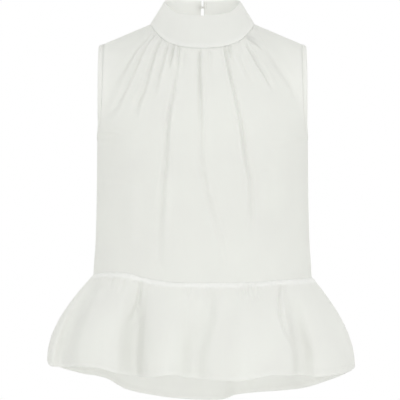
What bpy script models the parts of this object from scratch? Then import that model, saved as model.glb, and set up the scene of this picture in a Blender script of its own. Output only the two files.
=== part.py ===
import math

import bpy
import bmesh
import numpy as np
from mathutils import Matrix, Vector

# Sleeveless blouse worn by nobody: metres, +Z up, front towards -Y.
# The origin is the middle of the neck base, level with the high shoulder points.
# Every panel is a wall of cloth: rows run down it, columns run across it from -X to +X.

CLOTH = 0.0012            # one layer of crepe with its turned edges
COLLAR_CLOTH = 0.0018     # doubled cloth
BINDING_CLOTH = 0.0018    # folded bias strip
SEAM_GAP = 0.0003         # left open between two pieces at a seam

FRONT = -1.0
BACK = 1.0

NECK_HALF_WIDTH = 0.086
NECK_DEPTH = {FRONT: 0.092, BACK: 0.078}
COLLAR_TOP_HALF_WIDTH = 0.0627
COLLAR_TOP_HALF_DEPTH = 0.060
SHOULDER_TIP_ACROSS = 0.1640
SHOULDER_TIP_HEIGHT = -0.0330
BINDING_WIDTH = 0.0078

NECKLINE_SHARE = 0.85     # share of a panel's half width that ends in the neckline
FAN_ROWS = 6.0            # rows over which the neckline's shape fades into the chest's
WAIST_ROWS = 4.0          # rows over which the cloth settles to the waist seam's height
GATHER_DEPTH = 0.0021
GATHER_ROWS = 3.3
GATHER_SPAN = 176.0       # degrees of each half of the neckline that are gathered
GATHER_WIDTH = 0.3        # half width of a gather as a share of their pitch
RIDGE_HEIGHT = 0.4        # the ridges beside a fold, as a share of its depth
RIDGE_PLACE = 1.9         # how far they stand from it, in its half widths
FOLD_START = 0.35         # share of its full swell at which a fold leaves the neckline
SEAM_HOLD = 0.35          # share of a gather's or fold's depth that is left where the seam holds it
WAIST_HOLD = 0.2
WAIST_HOLD_ROWS = 1.5
SIDE_QUIET = 0.10         # share of the half width beside a side seam where folds fade

KEYHOLE_HALF_WIDTHS = (0.0035, 0.0046, 0.0066, 0.0084, 0.0070)    # one for each row of the back
KEYHOLE_EASE = (1.0, 0.5, 0.2)    # how far the columns beside the keyhole move out with its edge
KEYHOLE_ROUNDING = 0.0090
BUTTON_HEIGHT = 0.0336
BUTTON_ACROSS = -0.0058
BUTTON_RADIUS = 0.0050
BUTTON_THICKNESS = 0.0020
BUTTON_EDGE = 0.0005
BUTTON_DISH = 0.0004
BUTTON_SIDES = 20
SHANK_RADIUS = 0.0013
SHANK_LENGTH = 0.0019
BUTTON_CLEARANCE = 0.0004
THREAD_RADIUS = 0.0006
THREAD_SIDES = 6
THREAD_CLEARANCE = 0.00036

FRONT_COLUMNS = (34, 5)   # half of the panel: under the neckline, under the shoulder seam
BACK_COLUMNS = (24, 5)
PEPLUM_COLUMNS = 56
COLLAR_COLUMNS = 64
SHARP_ANGLE = 50.0

COLOURS = {
    "front": (0.80, 0.81, 0.76), "back": (0.76, 0.78, 0.74), "collar": (0.85, 0.86, 0.82),
    "peplum_front": (0.82, 0.83, 0.79), "peplum_back": (0.74, 0.76, 0.72),
    "armhole_binding_left": (0.88, 0.89, 0.86), "armhole_binding_right": (0.88, 0.89, 0.86),
    "collar_button": (0.86, 0.85, 0.80), "button_loop": (0.80, 0.80, 0.76)}
CLOTH_ROUGHNESS = 0.8
BUTTON_ROUGHNESS = 0.35

# angle round the neck from the front or back centre, height of the seam, lean of the cloth there
NECKLINE = {
    FRONT: {
        "angle":  (0, 20, 40, 60, 76, 90),
        "height": (-0.0455, -0.0430, -0.0345, -0.0180, -0.0040, 0.0),
        "lean":   (27, 28, 33, 42, 55, 67)},
    BACK: {
        "angle":  (0, 30, 60, 90),
        "height": (-0.0060, -0.0050, -0.0020, 0.0),
        "lean":   (32, 36, 47, 67)}}

# angle round the collar from the front centre, height of its top edge
COLLAR_TOP = {
    "angle":  (0, 25, 46, 66, 90, 130, 180),
    "height": (0.0090, 0.0115, 0.0170, 0.0275, 0.0379, 0.0430, 0.0440)}

# the slit at the centre back of the collar: rise from the seam to the top edge, half width;
# its rows are the collar's rows, and it closes where the loop holds it
COLLAR_SLIT = {
    "rise":       (0.0, 0.25, 0.50, 0.73, 0.80, 1.0),
    "half_width": (0.0033, 0.0031, 0.0027, 0.0026, 0.0013, 0.0012)}

# how the neckline's angles fan out over the panel's half width
NECK_FAN = {
    "share": (0, 0.15, 0.30, 0.45, 0.60, 0.72, 0.80, 0.85),
    "angle": (0, 17, 33, 46, 57, 68, 79, 90)}

# one entry for each row of cloth from shoulder to waist: the panel edge's place across, its
# place out from the middle and its height, then the height and depth of the centre line,
# and how far the section turns from facing forward to facing sideways at the edge
ARMHOLE_ROWS = 8
PANEL_ROWS = {
    FRONT: {
        "across": (0.1640, 0.1638, 0.1635, 0.1635, 0.1640, 0.1655, 0.1685, 0.1725, 0.1735,
                   0.1740, 0.1743, 0.1750, 0.1765, 0.1790, 0.1800),
        "out":    (0.0, 0.0160, 0.0330, 0.0450, 0.0500, 0.0470, 0.0350, 0.0160, 0.0,
                   0.0, 0.0, 0.0, 0.0, 0.0, 0.0),
        "edge":   (-0.0330, -0.0365, -0.0520, -0.0800, -0.1130, -0.1450, -0.1720, -0.1885, -0.1920,
                   -0.2250, -0.2650, -0.3100, -0.3600, -0.3950, -0.4157),
        "centre": (-0.0455, -0.0535, -0.0670, -0.0870, -0.1120, -0.1400, -0.1680, -0.1930, -0.2130,
                   -0.2400, -0.2750, -0.3170, -0.3640, -0.4000, -0.4220),
        "depth":  (0.0920, 0.0955, 0.0995, 0.1035, 0.1070, 0.1100, 0.1125, 0.1140, 0.1145,
                   0.1150, 0.1150, 0.1145, 0.1140, 0.1145, 0.1150),
        "turn":   (62, 59, 57, 56, 58, 64, 74, 84, 90,
                   90, 90, 90, 90, 90, 90)},
    BACK: {
        "across": (0.1640, 0.1638, 0.1635, 0.1635, 0.1640, 0.1655, 0.1685, 0.1725, 0.1735,
                   0.1740, 0.1743, 0.1750, 0.1765, 0.1790, 0.1800),
        "out":    (0.0, 0.0165, 0.0345, 0.0470, 0.0520, 0.0485, 0.0360, 0.0160, 0.0,
                   0.0, 0.0, 0.0, 0.0, 0.0, 0.0),
        "edge":   (-0.0330, -0.0365, -0.0520, -0.0800, -0.1130, -0.1450, -0.1720, -0.1885, -0.1920,
                   -0.2250, -0.2650, -0.3100, -0.3600, -0.3950, -0.4157),
        "centre": (-0.0060, -0.0150, -0.0330, -0.0620, -0.0920, -0.1230, -0.1560, -0.1820, -0.2040,
                   -0.2340, -0.2700, -0.3130, -0.3640, -0.4010, -0.4220),
        "depth":  (0.0780, 0.0830, 0.0910, 0.0990, 0.1050, 0.1090, 0.1115, 0.1130, 0.1140,
                   0.1145, 0.1140, 0.1130, 0.1120, 0.1130, 0.1150),
        "turn":   (62, 59, 57, 56, 58, 64, 74, 84, 90,
                   90, 90, 90, 90, 90, 90)}}

# long folds, one to a row: share of the half width where it starts and ends,
# its first and last row of cloth, its half width as a share, and its depth
FOLD_COLUMNS = ("start", "end", "first", "last", "spread", "deep")
FOLDS = {
    FRONT: (
        (-0.235, -0.245, 0.0, 13.0, 0.045, 0.0044),
        (-0.010, 0.110, 0.5, 13.0, 0.045, 0.0038),
        (0.205, 0.300, 0.0, 11.0, 0.050, 0.0040),
        (-0.330, -0.300, 0.0, 5.0, 0.030, 0.0026),
        (-0.420, -0.440, 0.0, 6.5, 0.035, 0.0032),
        (-0.520, -0.680, 0.0, 6.5, 0.040, 0.0036),
        (-0.640, -0.780, 0.0, 5.0, 0.035, 0.0026),
        (0.480, 0.560, 0.0, 5.5, 0.040, 0.0032),
        (0.600, 0.700, 0.0, 4.0, 0.035, 0.0024),
        (0.560, 0.740, 3.0, 7.5, 0.050, 0.0028)),
    BACK: (
        (-0.300, -0.280, 0.0, 13.0, 0.055, 0.0038),
        (0.260, 0.320, 0.0, 12.0, 0.055, 0.0042),
        (-0.520, -0.640, 0.0, 7.0, 0.045, 0.0030),
        (0.500, 0.660, 0.0, 7.5, 0.045, 0.0030),
        (0.020, 0.050, 6.0, 13.0, 0.050, 0.0028))}
GATHERS = {FRONT: 22, BACK: 16}

# height of the waist seam by share of the half width, left to right
WAIST_SEAM = {
    "share":  (-1.0, -0.80, -0.62, -0.46, -0.36, -0.20, 0.0, 0.34, 0.50, 0.80, 1.0),
    "height": (-0.4157, -0.4100, -0.4068, -0.4078, -0.4135, -0.4205, -0.4220,
               -0.4210, -0.4185, -0.4180, -0.4175)}

# the hem of each peplum half, left to right: the angle of the waist above it, and its place;
# the waves are where the depth swells and falls back
HEM = {
    FRONT: {
        "angle":  (-90, -77, -62, -52, -42, -34, -26, -16, -6, 2, 12, 24, 34, 44, 54, 64, 77, 90),
        "across": (-0.257, -0.245, -0.207, -0.166, -0.130, -0.110, -0.088, -0.058, -0.032, -0.013,
                   0.022, 0.068, 0.108, 0.150, 0.179, 0.207, 0.238, 0.252),
        "depth":  (0.000, 0.048, 0.100, 0.127, 0.132, 0.121, 0.146, 0.168, 0.160, 0.145,
                   0.158, 0.170, 0.146, 0.108, 0.120, 0.102, 0.053, 0.000),
        "height": (-0.5540, -0.5595, -0.5605, -0.5590, -0.5680, -0.5725, -0.5690, -0.5640, -0.5670,
                   -0.5715, -0.5740, -0.5725, -0.5665, -0.5690, -0.5708, -0.5700, -0.5680, -0.5650)},
    BACK: {
        "angle":  (-90, -76, -62, -50, -40, -28, -14, 0, 12, 20, 30, 42, 54, 66, 78, 90),
        "across": (-0.257, -0.242, -0.205, -0.166, -0.133, -0.088, -0.044, 0.004, 0.038, 0.058,
                   0.092, 0.138, 0.174, 0.206, 0.239, 0.252),
        "depth":  (0.000, 0.052, 0.100, 0.116, 0.146, 0.163, 0.153, 0.167, 0.160, 0.143,
                   0.155, 0.147, 0.119, 0.103, 0.052, 0.000),
        "height": (-0.5540, -0.5680, -0.5830, -0.5920, -0.6130, -0.6250, -0.6300, -0.6340, -0.6320,
                   -0.6230, -0.6200, -0.6160, -0.6090, -0.5980, -0.5800, -0.5650)}}
PEPLUM_DROPS = (0.0, 0.06, 0.15, 0.28, 0.43, 0.60, 0.80, 1.0)
PEPLUM_FLARE = 0.9        # how soon the peplum swells out below the waist
PEPLUM_GATHERS = 15
PEPLUM_GATHER_DEPTH = 0.0018
PEPLUM_GATHER_SPAN = 168.0
PEPLUM_GATHER_WIDTH = 3.0    # degrees
PEPLUM_GATHER_LENGTH = 0.47
PEPLUM_SEAM_DROP = 0.06
PEPLUM_SIDE_QUIET = 8.0      # degrees

# the thread loop on the collar's outer face: place across, place above the button's middle
LOOP_PATH = (
    (0.0045, 0.0010), (0.0025, 0.0010), (0.0000, 0.0010), (-0.0025, 0.0016), (-0.0045, 0.0023),
    (-0.0065, 0.0023), (-0.0078, 0.0012), (-0.0080, 0.0), (-0.0078, -0.0012), (-0.0065, -0.0023),
    (-0.0045, -0.0023), (-0.0025, -0.0016), (0.0000, -0.0010), (0.0025, -0.0010), (0.0045, -0.0010))


def smooth(x):
    x = np.clip(x, 0.0, 1.0)
    return x * x * (3.0 - 2.0 * x)


def vary(index, amount, pace):
    """A number about 1 that changes from one gather to the next without a plain repeat."""
    return 1.0 + amount * math.sin(pace * index)


def read_table(table, key, value, x):
    """Read one column of a table against another, on a smooth curve through its points."""
    xs = np.asarray(table[key], float)
    ys = np.asarray(table[value], float)
    steps = np.diff(xs)
    rises = np.diff(ys) / steps
    slopes = np.concatenate((rises[:1], rises, rises[-1:]))
    slopes = (slopes[:-1] + slopes[1:]) / 2
    x = np.clip(x, xs[0], xs[-1])
    span = np.clip(np.searchsorted(xs, x, side="right") - 1, 0, len(steps) - 1)
    step = steps[span]
    t = (x - xs[span]) / step
    return ((2 * t**3 - 3 * t**2 + 1) * ys[span] + (t**3 - 2 * t**2 + t) * step * slopes[span]
            + (3 * t**2 - 2 * t**3) * ys[span + 1] + (t**3 - t**2) * step * slopes[span + 1])


def unit(vectors):
    return vectors / np.linalg.norm(vectors, axis=-1, keepdims=True)


def outward_normals(points, side):
    """Unit normals of a panel's grid of points, out of the blouse."""
    across = np.gradient(points, axis=1)
    down = np.gradient(points, axis=0)
    return unit(np.cross(down, across) * -side)


def principled(name, roughness):
    material = bpy.data.materials.new(name)
    material.use_nodes = True
    shader = material.node_tree.nodes["Principled BSDF"]
    shader.inputs["Base Color"].default_value = (*COLOURS[name], 1.0)
    shader.inputs["Roughness"].default_value = roughness
    shader.inputs["Metallic"].default_value = 0.0
    return material


def add_object(name, mesh, roughness=CLOTH_ROUGHNESS):
    bmesh.ops.recalc_face_normals(mesh, faces=mesh.faces[:])
    if mesh.calc_volume(signed=True) < 0.0:
        bmesh.ops.reverse_faces(mesh, faces=mesh.faces[:])
    data = bpy.data.meshes.new(name)
    mesh.to_mesh(data)
    mesh.free()
    data.shade_smooth()
    data.set_sharp_from_angle(angle=math.radians(SHARP_ANGLE))
    data.materials.append(principled(name, roughness))
    bpy.context.scene.collection.objects.link(bpy.data.objects.new(name, data))


def cloth_wall(name, outer, walls, thickness, closed=False, cut=()):
    """A closed wall of cloth from its outer face and the directions from its inner face to it.

    cut lists the cells of the grid, as row and column, that are left open."""
    rows, columns = outer.shape[:2]
    inner = outer - unit(walls) * thickness
    cells = [(row, column) for row in range(rows - 1)
             for column in range(columns if closed else columns - 1) if (row, column) not in cut]
    present = set(cells)
    mesh = bmesh.new()
    corners = {}

    def corner(layer, row, column):
        key = (layer, row, column % columns)
        if key not in corners:
            corners[key] = mesh.verts.new((outer, inner)[layer][row, column % columns])
        return corners[key]

    for row, column in cells:
        ring = ((row, column), (row, column + 1), (row + 1, column + 1), (row + 1, column))
        beside = ((row - 1, column), (row, column + 1), (row + 1, column), (row, column - 1))
        mesh.faces.new([corner(0, *place) for place in ring])
        mesh.faces.new([corner(1, *place) for place in reversed(ring)])
        for index, (other_row, other_column) in enumerate(beside):
            other = (other_row, other_column % columns if closed else other_column)
            if other not in present:
                start, end = ring[index], ring[(index + 1) % 4]
                mesh.faces.new((corner(0, *end), corner(0, *start),
                                corner(1, *start), corner(1, *end)))
    bmesh.ops.triangulate(mesh, faces=mesh.faces[:], quad_method="SHORT_EDGE")
    add_object(name, mesh)


def panel_shares(neck_columns, shoulder_columns):
    """The columns of a panel as shares of its half width, from -1 to 1."""
    neck = np.linspace(0.0, NECKLINE_SHARE, neck_columns + 1)
    shoulder = np.linspace(NECKLINE_SHARE, 1.0, shoulder_columns + 1)[1:]
    half = np.concatenate((neck, shoulder))
    return np.concatenate((-half[:0:-1], half))


def neckline_angle(share):
    return read_table(NECK_FAN, "share", "angle", np.abs(share)) * np.sign(share)


def neck_ring(angle, side):
    """Where cloth meets collar: the seam's point, the wall's direction and the way up the cloth.

    angle is signed and counts from the middle of that side."""
    turn = np.radians(angle)
    depth = NECK_DEPTH[side]
    level = unit(np.stack((np.sin(turn) * depth, side * np.cos(turn) * NECK_HALF_WIDTH, 0.0 * turn),
                          axis=-1))
    lean = np.radians(read_table(NECKLINE[side], "angle", "lean", np.abs(angle)))[..., None]
    rise = np.array((0.0, 0.0, 1.0))
    point = np.stack((NECK_HALF_WIDTH * np.sin(turn), side * depth * np.cos(turn),
                      read_table(NECKLINE[side], "angle", "height", np.abs(angle))), axis=-1)
    wall = level * np.cos(lean) + rise * np.sin(lean)
    up = rise * np.cos(lean) - level * np.sin(lean)
    return point, wall, up


def shoulder_seam(share):
    along = (np.abs(share) - NECKLINE_SHARE) / (1.0 - NECKLINE_SHARE)
    run = SHOULDER_TIP_ACROSS - NECK_HALF_WIDTH
    point = np.stack(((NECK_HALF_WIDTH + run * along) * np.sign(share), 0.0 * along,
                      SHOULDER_TIP_HEIGHT * along), axis=-1)
    wall = np.stack((-SHOULDER_TIP_HEIGHT * np.sign(share), 0.0 * along, run + 0.0 * along), axis=-1)
    return point, unit(wall)


def chest_section(share, row, side):
    """The blouse's sections below the neckline, without folds."""
    rows = {"row": range(len(PANEL_ROWS[side]["edge"])), **PANEL_ROWS[side]}

    def at(column):
        return read_table(rows, "row", column, row)
    turn = np.radians(at("turn"))
    angle = share * turn
    swell = (np.cos(angle) - np.cos(turn)) / (1.0 - np.cos(turn))
    return np.stack((at("across") * np.sin(angle) / np.sin(turn),
                     side * (at("out") + (at("depth") - at("out")) * swell),
                     at("edge") + (at("centre") - at("edge")) * swell), axis=-1)


def long_folds(share, row, side):
    """How far the long folds press the cloth in, with a soft ridge on each of their sides."""
    pressed = np.zeros_like(share)
    for values in FOLDS[side]:
        fold = dict(zip(FOLD_COLUMNS, values))
        along = (row - fold["first"]) / (fold["last"] - fold["first"])
        middle = fold["start"] + (fold["end"] - fold["start"]) * np.clip(along, 0.0, 1.0)
        swell = np.sin(np.pi * (FOLD_START + (1.0 - FOLD_START) * along))
        fade = np.where((along < 0.0) | (along > 1.0), 0.0, swell)
        away = (share - middle) / fold["spread"]
        shape = np.exp(-away**2) - RIDGE_HEIGHT * np.exp(-(np.abs(away) - RIDGE_PLACE)**2)
        pressed += fold["deep"] * fade * shape
    return pressed


def neck_gathers(share, row, side):
    """The gathers sewn into the neckline, uneven in place, depth and length."""
    angle = neckline_angle(share)
    pitch = GATHER_SPAN / GATHERS[side]
    pressed = np.zeros_like(share)
    for index in range(GATHERS[side]):
        place = pitch * (index + 0.5 * vary(index, 0.4, 2.4)) - GATHER_SPAN / 2
        length = GATHER_ROWS * vary(index, 0.3, 2.6)
        deep = GATHER_DEPTH * 0.75 * vary(index, 0.33, 1.9)
        along = smooth(1.0 - row / length) * (SEAM_HOLD + (1.0 - SEAM_HOLD) * smooth(row))
        pressed += deep * along * np.exp(-((angle - place) / (GATHER_WIDTH * pitch))**2)
    return np.where(np.abs(share) > NECKLINE_SHARE, 0.0, pressed)


def panel_surface(columns, side):
    """The panel's outer face and its wall directions, row by row."""
    rows = len(PANEL_ROWS[side]["edge"])
    share, row = np.meshgrid(panel_shares(*columns), np.arange(rows, dtype=float))
    points = chest_section(share, row, side)
    under_neck = np.abs(share[0]) <= NECKLINE_SHARE
    neck, neck_wall, neck_up = neck_ring(neckline_angle(share[0]), side)
    shoulder, shoulder_wall = shoulder_seam(share[0])
    top = np.where(under_neck[:, None], neck, shoulder)
    points += (top - points[0]) * (1.0 - smooth(row / FAN_ROWS))[..., None]
    waist = read_table(WAIST_SEAM, "share", "height", share)
    points[..., 2] += (waist - points[-1, :, 2]) * smooth(1.0 - (rows - 1 - row) / WAIST_ROWS)
    base_walls = outward_normals(points, side)
    base_walls[0] = np.where(under_neck[:, None], neck_wall, shoulder_wall)
    quiet = smooth((1.0 - np.abs(share)) / SIDE_QUIET)
    quiet *= WAIST_HOLD + (1.0 - WAIST_HOLD) * smooth((rows - 1 - row) / WAIST_HOLD_ROWS)
    held = SEAM_HOLD + (1.0 - SEAM_HOLD) * smooth(row)
    pressed = (long_folds(share, row, side) * held + neck_gathers(share, row, side)) * quiet
    points -= base_walls * pressed[..., None]
    walls = outward_normals(points, side)
    walls[0] = base_walls[0]
    walls[-1, :, 2] = 0.0
    points[0] -= np.where(under_neck[:, None], neck_up, 0.0) * SEAM_GAP / 2
    points[-1, :, 2] += SEAM_GAP / 2
    points[0, np.abs(share[0]) >= NECKLINE_SHARE, 1] += side * SEAM_GAP / 2
    for column in (0, -1):
        walls[ARMHOLE_ROWS:, column, 1] = 0.0
        points[ARMHOLE_ROWS:, column, 1] += side * SEAM_GAP / 2
    return points, unit(walls)


def make_front():
    points, walls = panel_surface(FRONT_COLUMNS, FRONT)
    cloth_wall("front", points, walls, CLOTH)


def make_back():
    """The back panel, open at its centre for a keyhole under the collar's slit."""
    points, walls = panel_surface(BACK_COLUMNS, BACK)
    middle = points.shape[1] // 2
    cut = []
    for row, half_width in enumerate(KEYHOLE_HALF_WIDTHS):
        for hand in (-1, 1):
            shift = hand * half_width - points[row, middle + hand, 0]
            for away, part in enumerate(KEYHOLE_EASE, start=1):
                points[row, middle + hand * away, 0] += shift * part
    last = len(KEYHOLE_HALF_WIDTHS) - 1
    points[last, middle, 2] -= KEYHOLE_ROUNDING
    for row in range(last):
        cut += [(row, middle - 1), (row, middle)]
    cloth_wall("back", points, walls, CLOTH, cut=cut)


def peplum_surface(side):
    angles = np.linspace(-90.0, 90.0, PEPLUM_COLUMNS + 1)
    angle, drop = np.meshgrid(angles, PEPLUM_DROPS)
    last_row = len(PANEL_ROWS[side]["edge"]) - 1.0
    waist = chest_section(angle / 90.0, np.full_like(angle, last_row), side)
    waist[..., 2] = read_table(WAIST_SEAM, "share", "height", angle / 90.0)
    hem = np.stack((read_table(HEM[side], "angle", "across", angle),
                    side * read_table(HEM[side], "angle", "depth", angle),
                    read_table(HEM[side], "angle", "height", angle)), axis=-1)
    flare = np.sin(np.pi / 2 * drop)**PEPLUM_FLARE
    fall = np.stack((flare, flare, drop), axis=-1)
    points = waist + (hem - waist) * fall
    walls = outward_normals(points, side)
    wave = np.zeros_like(angle)
    pitch = PEPLUM_GATHER_SPAN / PEPLUM_GATHERS
    for index in range(PEPLUM_GATHERS):
        place = pitch * (index + 0.5 * vary(index, 0.5, 2.1)) - PEPLUM_GATHER_SPAN / 2
        length = PEPLUM_GATHER_LENGTH * vary(index, 0.25, 3.4)
        wave += np.exp(-((angle - place) / PEPLUM_GATHER_WIDTH)**2) * smooth(1.0 - drop / length)
    wave *= smooth(drop / PEPLUM_SEAM_DROP) * smooth((90.0 - np.abs(angle)) / PEPLUM_SIDE_QUIET)
    points -= walls * (PEPLUM_GATHER_DEPTH * wave)[..., None]
    walls = outward_normals(points, side)
    walls[0, :, 2] = 0.0
    points[0, :, 2] -= SEAM_GAP / 2
    for column in (0, -1):
        walls[:, column, 1] = 0.0
        points[:, column, 1] += side * SEAM_GAP / 2
    return points, unit(walls)


def make_peplum():
    for name, side in (("peplum_front", FRONT), ("peplum_back", BACK)):
        points, walls = peplum_surface(side)
        cloth_wall(name, points, walls, CLOTH)


def collar_points(angle, rise):
    """The collar's outer face: angle from the front centre, rise from 0 at its seam to 1."""
    front = np.abs(angle) <= 90.0
    behind = np.sign(angle) * (180.0 - np.abs(angle))
    front_seam, front_wall, front_up = neck_ring(np.where(front, angle, 0.0), FRONT)
    back_seam, back_wall, back_up = neck_ring(np.where(front, 0.0, behind), BACK)
    pick = front[..., None]
    seam = np.where(pick, front_seam + front_up * SEAM_GAP / 2, back_seam + back_up * SEAM_GAP / 2)
    turn = np.radians(angle)
    top = np.stack((COLLAR_TOP_HALF_WIDTH * np.sin(turn), -COLLAR_TOP_HALF_DEPTH * np.cos(turn),
                    read_table(COLLAR_TOP, "angle", "height", np.abs(angle))), axis=-1)
    return seam + (top - seam) * rise[..., None], np.where(pick, front_wall, back_wall)


def collar_half_width(rise):
    return NECK_HALF_WIDTH + (COLLAR_TOP_HALF_WIDTH - NECK_HALF_WIDTH) * rise


def make_collar():
    """The stand collar, split at the centre back."""
    rise, share = np.meshgrid(COLLAR_SLIT["rise"][::-1],
                              np.linspace(-1.0, 1.0, COLLAR_COLUMNS + 1), indexing="ij")
    slit = np.interp(rise, COLLAR_SLIT["rise"], COLLAR_SLIT["half_width"])
    angle = share * (180.0 - np.degrees(slit / collar_half_width(rise)))
    points, seam_walls = collar_points(angle, rise)
    walls = outward_normals(points, FRONT)
    walls[-1] = seam_walls[-1]
    cloth_wall("collar", points, walls, COLLAR_CLOTH)


def armhole_loop(hand):
    """The panels' edges round one armhole, forward side down and back side up."""
    loop = []
    walls = []
    for side, rows in ((FRONT, range(ARMHOLE_ROWS + 1)), (BACK, range(ARMHOLE_ROWS - 1, 0, -1))):
        columns = FRONT_COLUMNS if side == FRONT else BACK_COLUMNS
        points, directions = panel_surface(columns, side)
        column = -1 if hand > 0 else 0
        for row in rows:
            loop.append(points[row, column])
            walls.append(directions[row, column])
    loop = np.array(loop)
    loop[(0, ARMHOLE_ROWS), 1] = 0.0
    return loop, np.array(walls)


def make_bindings():
    """A folded strip round each armhole, set in from the panels' edges by the seam gap."""
    for name, hand in (("armhole_binding_left", -1), ("armhole_binding_right", 1)):
        loop, walls = armhole_loop(hand)
        along = np.roll(loop, -1, axis=0) - np.roll(loop, 1, axis=0)
        inward = unit(np.cross(walls, along) * hand)
        strip = np.array([loop + inward * (SEAM_GAP + BINDING_WIDTH * part) for part in (0.0, 0.5, 1.0)])
        cloth_wall(name, strip, np.array([walls] * 3), BINDING_CLOTH, closed=True)


def collar_back_place(across, height):
    """A point of the collar's outer face at the back, with the direction out of it."""
    seam = NECKLINE[BACK]["height"][0]
    rise = (height - seam) / (COLLAR_TOP["height"][-1] - seam)
    angle = math.copysign(180.0 - math.degrees(abs(across) / collar_half_width(rise)), across)

    def place(turn, up):
        return Vector(collar_points(np.array([turn]), np.array([up]))[0][0])
    point = place(angle, rise)
    right = (place(math.copysign(abs(angle) - 2.0, angle), rise) - point) * math.copysign(1.0, across)
    up = place(angle, rise + 0.1) - point
    out = right.cross(up)
    if out.y < 0.0:
        out.negate()
    return point, out.normalized()


def make_button():
    """A small turned button on a shank, its back to the collar."""
    point, out = collar_back_place(BUTTON_ACROSS, BUTTON_HEIGHT)
    face = SHANK_LENGTH + BUTTON_THICKNESS
    profile = ((0.0, 0.0), (SHANK_RADIUS, 0.0), (SHANK_RADIUS, SHANK_LENGTH),
               (BUTTON_RADIUS - BUTTON_EDGE, SHANK_LENGTH), (BUTTON_RADIUS, SHANK_LENGTH + BUTTON_EDGE),
               (BUTTON_RADIUS, face - BUTTON_EDGE), (BUTTON_RADIUS - BUTTON_EDGE, face),
               (0.0, face - BUTTON_DISH))
    mesh = bmesh.new()
    line = [mesh.verts.new((radius, 0.0, height)) for radius, height in profile]
    edges = [mesh.edges.new(pair) for pair in zip(line, line[1:])]
    bmesh.ops.spin(mesh, geom=line + edges, axis=(0, 0, 1), cent=(0, 0, 0), steps=BUTTON_SIDES,
                   angle=math.tau, use_merge=True)
    bmesh.ops.remove_doubles(mesh, verts=mesh.verts[:], dist=0.00001)
    turn = out.to_track_quat("Z", "X").to_matrix().to_4x4()
    mesh.transform(Matrix.Translation(point + out * BUTTON_CLEARANCE) @ turn)
    add_object("collar_button", mesh, BUTTON_ROUGHNESS)


def make_loop():
    """The thread loop that runs from the collar's other end round the button's shank."""
    centres = []
    for across, above in LOOP_PATH:
        point, out = collar_back_place(across, BUTTON_HEIGHT + above)
        centres.append(point + out * (THREAD_RADIUS + THREAD_CLEARANCE))
    mesh = bmesh.new()
    rings = []
    for index, centre in enumerate(centres):
        before = centres[max(index - 1, 0)]
        after = centres[min(index + 1, len(centres) - 1)]
        way = (after - before).normalized()
        across = way.cross(Vector((0.0, 1.0, 0.0))).normalized() * THREAD_RADIUS
        out = across.cross(way)
        ring = []
        for step in range(THREAD_SIDES):
            turn = math.tau * step / THREAD_SIDES
            ring.append(mesh.verts.new(centre + across * math.cos(turn) + out * math.sin(turn)))
        rings.append(ring)
    for ring, following in zip(rings, rings[1:]):
        for step in range(THREAD_SIDES):
            after = (step + 1) % THREAD_SIDES
            mesh.faces.new((ring[step], ring[after], following[after], following[step]))
    mesh.faces.new(rings[0])
    mesh.faces.new(rings[-1][::-1])
    add_object("button_loop", mesh)


for old in list(bpy.data.objects):
    bpy.data.objects.remove(old)
make_front()
make_back()
make_peplum()
make_collar()
make_bindings()
make_button()
make_loop()
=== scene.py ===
import math
import bpy
import numpy as np
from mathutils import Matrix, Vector


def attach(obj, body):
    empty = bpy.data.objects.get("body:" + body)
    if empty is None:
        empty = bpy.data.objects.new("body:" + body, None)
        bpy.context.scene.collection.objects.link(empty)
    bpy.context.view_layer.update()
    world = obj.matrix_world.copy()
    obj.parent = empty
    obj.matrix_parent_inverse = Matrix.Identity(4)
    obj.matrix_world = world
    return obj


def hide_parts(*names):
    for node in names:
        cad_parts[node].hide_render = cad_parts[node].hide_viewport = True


# A white crepe blouse in its worn shape: no sleeves, a high collar, gathers under it and a waved peplum.
# Metres, +Z up, front towards -Y. Cloth runs down in rows and across in columns from -X to +X.

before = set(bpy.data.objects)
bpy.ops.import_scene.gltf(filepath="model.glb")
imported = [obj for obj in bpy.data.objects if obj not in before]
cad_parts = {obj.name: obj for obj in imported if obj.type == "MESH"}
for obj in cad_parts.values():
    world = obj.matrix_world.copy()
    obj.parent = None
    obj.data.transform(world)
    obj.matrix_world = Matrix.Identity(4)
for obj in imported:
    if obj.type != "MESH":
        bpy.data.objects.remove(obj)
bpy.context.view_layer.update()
front, back = -1.0, 1.0
seam = {
    "gap": 0.00006,          # between two pieces
    "edge": 0.15,            # what is left of the cloth's thickness at a sewn edge
    "reach": 0.0025,         # how far from that edge it is whole again
}
millimetres = 1000.0         # to a metre, for the tables given in them


# small tools that every piece uses

def smoothStep(x):
    x = np.clip(x, 0.0, 1.0)
    return x * x * (3.0 - 2.0 * x)


def easeIn(apart, least, reach):    # from least up to one, over reach
    return least + (1.0 - least) * smoothStep(apart / reach)


def bump(x):
    return np.exp(-np.asarray(x, float)**2)


def unit(vectors):
    return vectors / np.linalg.norm(vectors, axis=-1, keepdims=True)


def readTable(xs, ys, x):    # a smooth curve through the points of a short table
    xs = np.asarray(xs, float)
    ys = np.asarray(ys, float)
    steps = np.diff(xs)
    rises = np.diff(ys) / steps
    slopes = np.concatenate((rises[:1], rises, rises[-1:]))
    slopes = (slopes[:-1] + slopes[1:]) / 2
    x = np.clip(x, xs[0], xs[-1])
    span = np.clip(np.searchsorted(xs, x, side="right") - 1, 0, len(steps) - 1)
    step = steps[span]
    t = (x - xs[span]) / step
    return ((2 * t**3 - 3 * t**2 + 1) * ys[span] + (t**3 - 2 * t**2 + t) * step * slopes[span]
            + (3 * t**2 - 2 * t**3) * ys[span + 1] + (t**3 - t**2) * step * slopes[span + 1])


def runLength(points):    # how far each point lies along its run
    steps = np.linalg.norm(np.diff(points, axis=0), axis=-1)
    return np.concatenate((np.zeros_like(steps[:1]), np.cumsum(steps, axis=0)))


def fromRow(points, row):    # how far each point lies from its column's point in that row
    return np.linalg.norm(points - points[row], axis=-1)


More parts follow.
